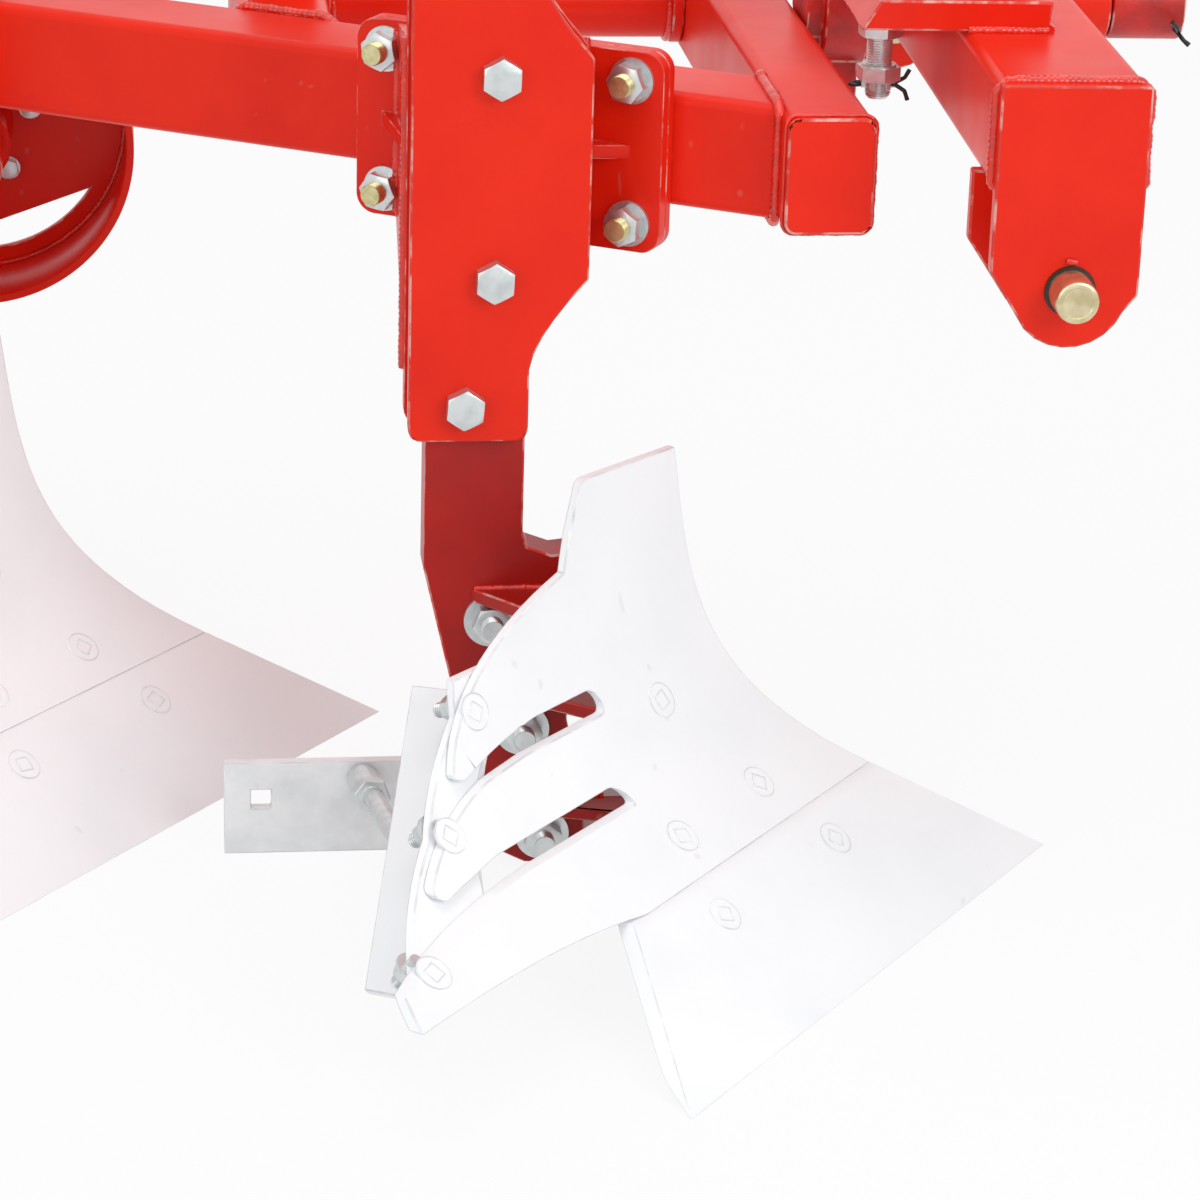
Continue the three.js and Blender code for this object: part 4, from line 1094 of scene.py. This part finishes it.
    def dress_plates(self) -> None:
        """Rounds and paints the plates that the CAD already shapes."""
        shop = self.makers.shop
        for node, rounding, finish in (
            ("leg_bracket", 0.8, PAINT), ("cheek_plate", 1.6, PAINT), ("mount_plate", 1.6, PAINT),
            # The leg and the frog take the darker red of painted shade.
            ("leg", 1.8, SHADED_LEG_PAINT), ("frog", 1.5, SHADED_LEG_PAINT),
        ):
            shop.carry_over([self.tag(node)], rounding, (finish, EDGE_HIGHLIGHT_AND_WEAR))
        # The landside's rounded edges take grey painted shade.
        shop.carry_over([self.tag("landside")], 1.2, (BAR_STEEL, STEEL_EDGE_SHADE), Slot.STEEL)
        shop.carry_over([self.tag("stay_rod")], 0.8, (ZINC,), Slot.ZINC)

    def build_bolts(self) -> None:
        """Builds the bolts through the cheeks, the flanges, the leg and the sheets."""
        make = self.makers
        s = self.surface
        place, beam = self.place(), make.layout.beam(self.index)
        seed = 10 * self.index
        cheek = [(-13.7, 727.0), (-16.2, 552.0), (-39.7, 440.0)]
        make.bolts(self.tag("cheek_bolts"), [((x, 0, z), (0, -1, 0)) for x, z in cheek], place,
                   flats=31, height=14, thread=12, turn=(0.44, 0.62), seed=seed + 1, end_metal=ZINC)
        make.bolts(self.tag("cheek_nuts"), [((x, self.far_face, z), (0, 1, 0)) for x, z in cheek], place,
                   flats=31, height=18, washer=21, washer_thick=4, thread=12, thread_end=30, seed=seed + 2)
        flange = [(18 + i * 116, 647 + j * 62.5) for i in (-1, 1) for j in (-1, 1)]
        near = -self.flange_thick - self.mount_thick
        make.bolts(self.tag("flange_nuts"), [((x, near, z), (0, -1, 0)) for x, z in flange], beam,
                   flats=30, height=16, washer=20, washer_thick=3.2, thread=10, thread_end=31, shank=24, seed=seed + 3)
        make.bolts(self.tag("flange_heads"), [((x, 0, z), (0, 1, 0)) for x, z in flange], beam,
                   flats=24, height=12.5, thread=10, seed=seed + 4)
        leg = [(-12.5, 239.0), (17.0, 135.0), (37.0, 33.0)]
        make.bolts(self.tag("leg_nuts"), [((x, self.leg_face, z), (0, -1, 0)) for x, z in leg], place,
                   flats=30, height=14, washer=24, washer_thick=4, thread=10, thread_end=30, seed=seed + 5,
                   end_metal=ZINC)
        out = self.leg_face + self.landside_out
        make.bolts(self.tag("landside_heads"), [((x, out, z), (0, 1, 0)) for x, z in leg[1:]], place,
                   flats=30, height=12, thread=10, seed=seed + 6)
        tie = self.tie_bolts
        behind = [(tuple(s.at(u, z, self.tie_back(z))), tuple(-s.front(u, z))) for u, z in tie]
        make.bolts(self.tag("tie_nuts"), behind, place, flats=19, height=10.5, washer=13, washer_thick=2.2,
                   thread=6.2, thread_end=24, seed=seed + 7, end_metal=ZINC)
        self.build_flush_bolts([(144.0, 69.0), (333.0, 70.0), (115.0, 192.0), (119.0, 115.0), (253.0, 113.0), *tie])

    def build_flush_bolts(self, spots: Sequence[Flat]) -> None:
        """Builds the countersunk heads in the share and the moldboard."""
        make = self.makers
        s = self.surface
        colour = make.shop.palette
        place = self.place()
        seeds = points_with_axis([(tuple(s.at(u, z)), tuple(s.front(u, z))) for u, z in spots], place)
        # The rings round the heads take grey painted shade.
        make.shop.grown(
            self.tag("flush_bolts"), seeds, place, make.trees.flush_bolt,
            {"Radius": self.flush_radius * MM, "Seed": 40 + self.index, "Metal": colour(STEEL),
             "Ring Metal": colour(STEEL_EDGE_SHADE)}, Slot.STEEL)

    def build_welds(self) -> None:
        """Builds the beads round the bracket's ribs and gusset and along the frog."""
        make = self.makers
        skew = make.layout.skew
        far = self.far_face + 1
        ribs: list[Path] = []
        for x, low in ((-88.0, 447.0), (52.0, 557.0)):
            face = make.layout.standoff - (x + self.rib_thick) * math.tan(skew) - 12.5
            face -= self.mount_thick / math.cos(skew)
            for side in (x, x + self.rib_thick):
                ribs.append(([(side, far, low + 6), (side, far, 744)], False))
                ribs.append(([(side, face, 566), (side, face, 728)], False))
        gusset = [([(-80, far, z), (56, far, z)], False) for z in (641, 653)]
        make.welds(self.tag("bracket_welds"), ribs + gusset, self.place(), 4.2, 3.0 + self.index)
        y = self.web_weld_y
        webs = [([(-28, y, z + dz), (92, y, z + dz)], False) for z in (62, 176, 262) for dz in (-6, 6)]
        make.welds(self.tag("frog_welds"), webs, self.place(), 3.4, 7.0 + self.index)


# ------------------------------------------------------------------ frame
@dataclass
class BeamFrame:
    """The skewed beam with its cross tubes and the round tube between them."""

    makers: Makers
    tube_x: Flat = (225.0, 300.0)
    tube_z: Flat = (597.0, 697.0)
    right_y: float = -24.0
    cap_thick: float = 8.0
    tube_corner: float = 10.0
    round_tube_at: Flat = (640.0, 647.0)
    round_tube_radius: float = 36.0
    round_tube_ends: Flat = (210.5, -121.0)

    def build(self) -> None:
        """Builds the tubes, their end caps and their welds."""
        self.makers.shop.carry_over(("main_beam", "front_cross_tube", "rear_cross_tube", "longitudinal_tube"), 2.2)
        self.build_welds()

    def ring(self, y: float, grown: float = 1.0) -> list[Point]:
        """Gives the path round the front cross tube at a distance across."""
        r = self.tube_corner
        x0, x1 = self.tube_x[0] - grown + r, self.tube_x[1] + grown - r
        z0, z1 = self.tube_z[0] - grown + r, self.tube_z[1] + grown - r
        path: list[Point] = []
        for centre, start in (((x1, z1), 0), ((x0, z1), 90), ((x0, z0), 180), ((x1, z0), 270)):
            path += [(x, y, z) for x, z in arc(centre, r, start, start + 90, 6)]
        return path

    def build_welds(self) -> None:
        """Builds the beads at the beam's head, the cap and the tube joints."""
        make = self.makers
        layout = make.layout
        near = layout.standoff - self.tube_x[0] * math.tan(layout.skew)
        far = near + layout.beam_side / math.cos(layout.skew)
        z0, z1 = self.tube_z
        x = self.tube_x[0] - 1.5
        head = [(x, near - 1, z0 + 4), (x, near - 1, z1 - 6), (x, near + 8, z1 + 1), (x, far - 8, z1 + 1),
                (x, far + 1, z1 - 6), (x, far + 1, z0 + 4), (x, far - 8, z0 - 1), (x, near + 8, z0 - 1)]
        across, up = self.round_tube_at
        rings = [([(end, across + dy, up + dz) for dy, dz in circle(self.round_tube_radius, 24)], True)
                 for end in self.round_tube_ends]
        make.welds("beam_head_weld", [(head, True)], layout.plough(), 5.0, 1.0)
        make.welds("tube_cap_weld", [(self.ring(self.right_y + self.cap_thick), True)], layout.plough(), 1.8, 2.0)
        make.welds("round_tube_welds", rings, layout.plough(), 3.6, 3.0)
        self.build_rear_joint()

    def build_rear_joint(self) -> None:
        """Builds the beads where the rear cross tube meets the beam."""
        layout = self.makers.layout

        def side(x: float) -> float:
            """Gives the beam's far side at a distance along the plough."""
            return layout.standoff - x * math.tan(layout.skew) + layout.beam_side / math.cos(layout.skew) + 1

        x0, x1 = -220.0, -135.0
        z0, z1 = self.tube_z
        joint = [(x0 - 1, side(x0), z0 + 4), (x0 - 1, side(x0), z1 - 6), (x0 + 8, side(x0 + 8), z1 + 1),
                 (x1 - 8, side(x1 - 8), z1 + 1), (x1 + 1, side(x1), z1 - 6), (x1 + 1, side(x1), z0 + 4)]
        self.makers.welds("rear_tube_weld", [(joint, False)], layout.plough(), 5.0, 5.0)


# ------------------------------------------------------------------ headstock
@dataclass
class Headstock:
    """The three-point headstock on its central shaft."""

    makers: Makers
    tube_x: Flat = (93.0, 217.0)
    tube_z: Flat = (665.0, 757.0)
    half_width: float = 531.0
    plate_thick: float = 14.0
    clevis: float = 70.0
    pin_x: float = 160.0
    pin_z: float = 586.0
    pin_radius: float = 18.3
    pin_proud: float = 35.0
    shaft_z: float = 711.0
    shaft_front: float = 288.0
    shaft_weld_radius: float = 39.0
    mast_y: Flat = (29.0, 45.0)
    bolt_x: float = 32.0
    bolt_y: float = -282.0

    def build(self) -> None:
        """Builds the headstock's pieces."""
        self.dress_plates()
        self.build_pins()
        self.build_swing_bolt()
        self.build_shaft_end()
        self.build_welds()

    def dress_plates(self) -> None:
        """Rounds and paints what the CAD already shapes."""
        shop = self.makers.shop
        shop.carry_over(
            ("hitch_cross_tube", "hitch_plate_right", "hitch_plate_left", "hitch_lug_right", "hitch_lug_left",
             "mast_plate_right", "mast_plate_left", "mast_stay", "levelling_bracket"), 2.0)
        shop.carry_over(["pivot_shaft"], 1.6, (DEEP_PAINT, EDGE_HIGHLIGHT_AND_WEAR))
        shop.carry_over(("top_link_pin", "stay_pin"), 1.6, (PIN_ZINC, ZINC), Slot.ZINC)

    def build_pins(self) -> None:
        """Builds the lower pins with turned ends, each in a dark ring."""
        shop = self.makers.shop
        head = self.makers.layout.headstock()
        inner = self.half_width - 2 * self.plate_thick - self.clevis - 18.0
        long = self.half_width + self.pin_proud - inner
        r = self.pin_radius
        profile = [(0, 0), (r - 3.2, 0), (r - 1.0, 0.9), (r, 3.0), (r, long - 3.2), (r - 0.9, long - 1.0),
                   (r - 2.6, long), (r - 5.0, long), (r - 5.8, long - 0.7), (0, long - 0.7)]
        ring = [(r + 0.05, 0), (r + 3.2, 0), (r + 3.0, 1.4), (r + 0.05, 1.6)]
        for side, node in ((-1, "hitch_pin_right"), (1, "hitch_pin_left")):
            at = Matrix.Translation((self.pin_x, side * inner, self.pin_z)) @ facing((0, side, 0))
            shop.piece(f"{node}_turned", moved(turned(profile, 64), at), head, (PIN_ZINC,), Slot.ZINC, node, crease=28)
            spot = Matrix.Translation((self.pin_x, side * self.half_width, self.pin_z)) @ facing((0, side, 0))
            shop.piece(f"{node}_ring", moved(turned(ring, 64, True), spot), head, (DARK_PIN_RING,), Slot.ZINC, crease=28)

    def build_swing_bolt(self) -> None:
        """Builds the levelling bolt with its castle nut and split pin."""
        make = self.makers
        under = self.tube_z[1]
        head = make.layout.headstock()
        x, y = self.bolt_x, self.bolt_y
        rod = turned([(0, under - 72), (8.4, under - 72), (10.4, under - 69.5), (11, under + 40), (0, under + 40)], 36)
        threads = [turned([(10.4, z), (11.3, z + 0.7), (10.4, z + 1.4)], 36, True)
                   for z in (under - 68 + 2.2 * k for k in range(28))]
        make.shop.piece("swing_bolt", moved(merged([rod, *threads]), Matrix.Translation((x, y, 0))), head, (ZINC,),
                        Slot.ZINC, "levelling_bolt", crease=30)
        for name, z, way, height, washer, washer_thick, thread_end, shank, seed in (
            ("lock_nut", under - 0.3, -1, 15, 19, 3, 10, 2, 3),
            ("castle_nut", under - 42, -1, 13, 15, 2, 8, 1, 8),
            ("head", under + 26.4, 1, 13, 19, 3, 0, 1, 4),
        ):
            make.bolts(f"swing_bolt_{name}", [((x, y, z), (0, 0, way))], head, flats=34, height=height,
                       washer=washer, washer_thick=washer_thick, thread=11, thread_end=thread_end, shank=shank,
                       seed=seed, end_metal=ZINC)
        crown = [moved(bar((13.2 - 3.2, -2.6, 0), (13.2 + 1.8, 2.6, 6)), Matrix.Rotation(math.radians(60 * k), 4, "Z"))
                 for k in range(6)]
        make.shop.piece("castle_crown", moved(merged(crown), Matrix.Translation((x, y, under - 63))), head, (ZINC,),
                        Slot.ZINC, crease=30, rounding=0.5)
        z = under - 60.5
        legs = [[(x - 14, y, z), (x, y - 1.6, z), (x + 15, y - 2, z), (x + 23, y - 3, z - 5), (x + 26, y - 3, z - 13)],
                [(x - 14, y, z + 1.5), (x, y + 1.4, z + 1), (x + 15, y + 2, z + 1), (x + 24, y + 4, z + 5),
                 (x + 28, y + 5, z + 12)],
                [(x - 14, y, z), (x - 19, y - 3.5, z), (x - 24, y, z), (x - 19, y + 3.5, z + 1), (x - 14, y, z + 1.5)]]
        make.split_pin("swing_bolt_split_pin", legs, head, 1.9)

    def build_shaft_end(self) -> None:
        """Builds the shaft's grease nipple and the key and split pin of its end cap."""
        make = self.makers
        head = make.layout.headstock()
        z, front = self.shaft_z, self.shaft_front
        key = bar((front + 6, -6, z + 36), (front + 54, 6, z + 39.5))
        make.shop.piece("cap_key", key, head, (PAINT, EDGE_HIGHLIGHT_AND_WEAR), Slot.PAINT, crease=30, rounding=1.0)
        x = front + 60
        legs = [[(x, -30, z - 22), (x, -48, z - 22), (x + 3, -58, z - 26), (x + 8, -60, z - 30)],
                [(x, -30, z - 20), (x, -48, z - 20), (x - 4, -58, z - 14), (x - 10, -62, z - 8)]]
        make.split_pin("shaft_split_pin", legs, head, 2.2)
        grease = turned([(0, 0), (5.5, 0), (5.5, 4), (3.2, 5), (3.2, 9), (4.2, 10.5), (3.0, 13), (0, 13.4)], 20)
        make.shop.piece("grease_nipple", moved(grease, Matrix.Translation((front - 34, 0, z + 37.5))), head, (ZINC,),
                        Slot.ZINC, crease=30)

    def build_welds(self) -> None:
        """Builds the beads round the end plates, the lugs, the bracket and the mast."""
        make = self.makers
        x0, x1 = self.tube_x
        z0, z1 = self.tube_z
        inner = self.half_width - self.plate_thick
        lug = inner - self.clevis
        over = z1 + 1.5
        paths: list[Path] = []
        for side in (-1, 1):
            y = side * (inner - 1.5)
            paths.append(([(x0 - 1, y, z0 + 8), (x0 - 1, y, z1 - 8), (x0 + 8, y, z1 + 0.5), (x1 - 8, y, z1 + 0.5),
                           (x1 + 1, y, z1 - 8), (x1 + 1, y, z0 + 8), (x1 - 8, y, z0 - 0.5), (x0 + 8, y, z0 - 0.5)],
                          True))
            for y in (side * lug, side * (lug - self.plate_thick)):
                paths.append(([(x0 + 6, y, z0 - 1.5), (x1 - 14, y, z0 - 1.5)], False))
            for y in (side * face for face in self.mast_y):
                paths.append(([(x0 + 8, y, over), (x1 - 8, y, over)], False))
        for y in (-343.0, -213.0):
            paths.append(([(x0 + 4, y, over), (165, y, over)], False))
        paths.append(([(167, -340, over), (167, -216, over)], False))
        paths.append(([(x1 + 1.5, y, self.shaft_z + z) for y, z in circle(self.shaft_weld_radius, 28)], True))
        make.welds("headstock_welds", paths, make.layout.headstock(), 4.4, 9.0)
        face = -self.half_width - 1.2
        spot = [([(self.pin_x - 5, face, 612), (self.pin_x + 4, face, 611)], False)]
        make.welds("pin_plug_weld", spot, make.layout.headstock(), 2.6, 4.0)


# ------------------------------------------------------------------ gauge wheel
@dataclass
class GaugeWheel:
    """The raised gauge wheel: a plain rim, a web with three windows, and a hub."""

    makers: Makers
    centre: Point = (-476.0, 702.0, 480.0)
    radius: float = 161.0
    width: float = 140.0
    rim: float = 8.0
    web_inset: float = 114.0
    web_thick: float = 10.0
    window_radius: float = 135.0
    window_half: float = 38.5
    first_window: float = -70.0
    bolt_circle: float = 58.0

    def place(self) -> Matrix:
        """Gives the wheel's frame, z from its near edge along the axle."""
        return self.makers.layout.plough() @ Matrix.Translation(self.centre) @ facing((0, 1, 0))

    def build(self) -> None:
        """Builds the wheel, its post and its sleeve."""
        shop = self.makers.shop
        self.build_rim()
        self.build_web()
        self.build_hub()
        shop.carry_over(["wheel_post"], 1.6, body=Body.WHEEL_POST)
        shop.carry_over(["wheel_sleeve"], 1.6)

    def build_rim(self) -> None:
        """Builds the rim, with its edges rounded a little."""
        r, w, t = self.radius, self.width, self.rim
        profile = [(r - t, 1.6), (r - t + 0.6, 0.4), (r - t + 1.8, 0), (r - 1.8, 0), (r - 0.6, 0.4), (r, 1.6),
                   (r, w - 1.6), (r - 0.6, w - 0.4), (r - 1.8, w), (r - t + 1.8, w), (r - t + 0.6, w - 0.4),
                   (r - t, w - 1.6)]
        self.makers.shop.piece("gauge_wheel_rim", turned(profile, 128, True), self.place(), (PAINT,), Slot.PAINT,
                               "gauge_wheel", body=Body.WHEEL, crease=40)

    def windows(self) -> list[list[Flat]]:
        """Gives the three windows, each between a chord and an arc."""
        across = facing((0, 1, 0)).inverted()
        rings = []
        for k in range(3):
            middle = self.first_window + 120 * k
            flat = arc((0, 0), self.window_radius, middle - self.window_half, middle + self.window_half, 20)
            rings.append([(p.x, p.y) for p in (across @ Vector((x, 0, z)) for x, z in flat)])
        return rings

    def build_web(self) -> None:
        """Builds the web and the bead that joins it to the rim."""
        make = self.makers
        inside = self.radius - self.rim
        edge = arc((0, 0), inside + 0.5, 0, 357, 119)
        web = moved(plate(edge, self.windows(), self.web_thick), Matrix.Translation((0, 0, self.web_inset)))
        make.shop.piece("gauge_wheel_web", web, self.place(), (PAINT, EDGE_HIGHLIGHT_AND_WEAR), Slot.PAINT, body=Body.WHEEL,
                        rounding=1.4)
        ring = [(x, y, self.web_inset - 1) for x, y in arc((0, 0), inside - 1, 0, 355, 71)]
        make.welds("gauge_wheel_weld", [(ring, True)], self.place(), 3.6, 6.0, Body.WHEEL)

    def build_hub(self) -> None:
        """Builds the turned hub and its bolts."""
        make = self.makers
        start, end = 13.0, self.web_inset + self.web_thick + 6
        bore, wide, slim = 20.7, 38.0, 34.0
        profile = [(bore, start + 1), (bore + 1, start), (wide - 3, start), (wide, start + 3), (wide, start + 16),
                   (slim, start + 20), (slim, self.web_inset - 16), (wide, self.web_inset - 12), (wide, end - 3),
                   (wide - 3, end), (bore + 1, end), (bore, end - 1)]
        make.shop.piece("gauge_wheel_hub", turned(profile, 64, True), self.place(), (PAINT,), Slot.PAINT,
                        body=Body.WHEEL, crease=30)
        spots = [((x, y, self.web_inset), (0, 0, -1)) for x, y in arc((0, 0), self.bolt_circle, 20, 308, 4)]
        make.bolts("gauge_wheel_bolts", spots, self.place(), flats=19, height=8, washer=12, washer_thick=2,
                   thread=6, shank=4, seed=11, body=Body.WHEEL)


# ------------------------------------------------------------------ parking stand
@dataclass
class ParkingStand:
    """The sliding stand in its sleeve, held by a cross pin."""

    makers: Makers
    x: float = 27.0
    y: float = 720.8
    hole_z: float = 647.0
    pin_out: float = 32.0

    def build(self) -> None:
        """Builds the stand and its pin."""
        shop = self.makers.shop
        shop.carry_over(["stand_sleeve"], 1.4)
        shop.carry_over(["stand_leg"], 1.4, body=Body.STAND)
        head = turned([(0, 0), (9, 0), (11, 2), (11, 8), (9, 10), (0, 10)], 28)
        at = Matrix.Translation((self.x, self.y + self.pin_out, self.hole_z)) @ facing((0, 1, 0))
        shop.piece("stand_pin", moved(head, at), self.makers.layout.plough(), (ZINC,), Slot.ZINC, crease=30)


# ------------------------------------------------------------------ studio
@dataclass
class Studio:
    """The camera, the pale floor, the world and the lamps."""

    layout: Layout
    eye: Point = (-324.1, -3188.6, 1507.8)
    yaw: float = math.radians(7.25)
    pitch: float = math.radians(21.2)
    roll: float = math.radians(1.74)
    lens: float = 118.5
    floor_side: float = 30.0
    floor_grey: Colour = (0.86, 0.86, 0.87, 1.0)
    floor_white: float = 0.9
    surround: float = 0.6

    def build(self) -> None:
        """Sets up the camera, floor, world and lamps."""
        self.add_camera()
        self.add_floor()
        self.light_world()
        self.add_lamps()

    def add_camera(self) -> None:
        """Places the camera."""
        ahead = Vector((math.sin(self.yaw) * math.cos(self.pitch), math.cos(self.yaw) * math.cos(self.pitch),
                        -math.sin(self.pitch)))
        right = Vector((math.cos(self.yaw), -math.sin(self.yaw), 0))
        up = right.cross(ahead)
        turn = Matrix.Rotation(self.roll, 3, -ahead)
        right, up = turn @ right, turn @ up
        data = bpy.data.cameras.new("camera")
        data.lens = self.lens
        data.sensor_width = 36.0
        data.clip_end = 100.0
        camera = bpy.data.objects.new("camera", data)
        bpy.context.scene.collection.objects.link(camera)
        spot = self.layout.plough() @ Vector(self.eye)
        camera.matrix_world = Matrix.Translation(spot) @ Matrix((right, up, -ahead)).transposed().to_4x4()
        bpy.context.scene.camera = camera

    def straight_rays(self, sheet: NodeSheet) -> Socket:
        """Gives 1 for rays that show the background: seen, mirrored or let through."""
        rays = sheet.add("ShaderNodeLightPath").outputs
        seen = sheet.sums("MAXIMUM", rays["Is Camera Ray"], rays["Is Glossy Ray"])
        return sheet.sums("MAXIMUM", seen, rays["Is Transmission Ray"])

    def add_floor(self) -> None:
        """Lays the floor, which is white to the eye but keeps the plough's shadow."""
        shape = bmesh.new()
        bmesh.ops.create_grid(shape, x_segments=8, y_segments=8, size=self.floor_side)
        mesh = bpy.data.meshes.new("floor")
        shape.to_mesh(mesh)
        shape.free()
        floor = bpy.data.objects.new("floor", mesh)
        bpy.context.scene.collection.objects.link(floor)
        material = bpy.data.materials.new("pale_floor")
        material.use_nodes = True
        sheet = NodeSheet(material.node_tree)
        sheet.tree.nodes.clear()
        plain = sheet.make("ShaderNodeBsdfDiffuse", {"Color": self.floor_grey})
        glow = sheet.make("ShaderNodeEmission", {"Color": WHITE, "Strength": 1.0})
        part = sheet.times(self.straight_rays(sheet), self.floor_white)
        mix = sheet.make("ShaderNodeMixShader", {0: part, 1: plain, 2: glow})
        sheet.add("ShaderNodeOutputMaterial", {"Surface": mix})
        mesh.materials.append(material)

    def light_world(self) -> None:
        """Makes the surround white to the eye and softer as light."""
        world = bpy.data.worlds.new("studio")
        bpy.context.scene.world = world
        world.use_nodes = True
        sheet = NodeSheet(world.node_tree)
        sheet.tree.nodes.clear()
        strength = sheet.ramp(self.straight_rays(sheet), 0.0, 1.0, self.surround)
        back = sheet.make("ShaderNodeBackground", {"Color": WHITE, "Strength": strength})
        sheet.add("ShaderNodeOutputWorld", {"Surface": back})

    def add_lamps(self) -> None:
        """Hangs the soft lamps: place, aim, side and power of each."""
        for name, spot, aim, size, power in (
            ("overhead", (0.2, -0.4, 3.6), (0.2, 0.0, 0.4), 3.0, 38.0),
            ("front_right", (2.3, -3.2, 2.2), (0.3, -0.2, 0.5), 1.6, 38.0),
            ("front_left", (-2.6, -3.4, 2.0), (-0.4, 0.2, 0.4), 2.2, 23.0),
        ):
            data = bpy.data.lights.new(name, "AREA")
            data.size = size
            data.energy = power
            lamp = bpy.data.objects.new(name, data)
            bpy.context.scene.collection.objects.link(lamp)
            way = Vector(aim) - Vector(spot)
            lamp.matrix_world = Matrix.Translation(spot) @ way.to_track_quat("-Z", "Y").to_matrix().to_4x4()


def main() -> None:
    """Builds the plough's sub-assemblies in order and the studio round them."""
    logging.basicConfig(level=logging.INFO, format="%(name)s: %(message)s")
    bpy.context.scene.view_settings.view_transform = "Standard"
    layout = Layout()
    Studio(layout).build()
    makers = Makers(Workshop(Palette()), Trees(), layout)
    BeamFrame(makers).build()
    Headstock(makers).build()
    for index in range(BODIES):
        FurrowBody(index, makers).build()
    GaugeWheel(makers).build()
    ParkingStand(makers).build()
    log.info("%d pieces", makers.shop.count)
    bpy.context.view_layer.update()


if __name__ == "__main__":
    main()
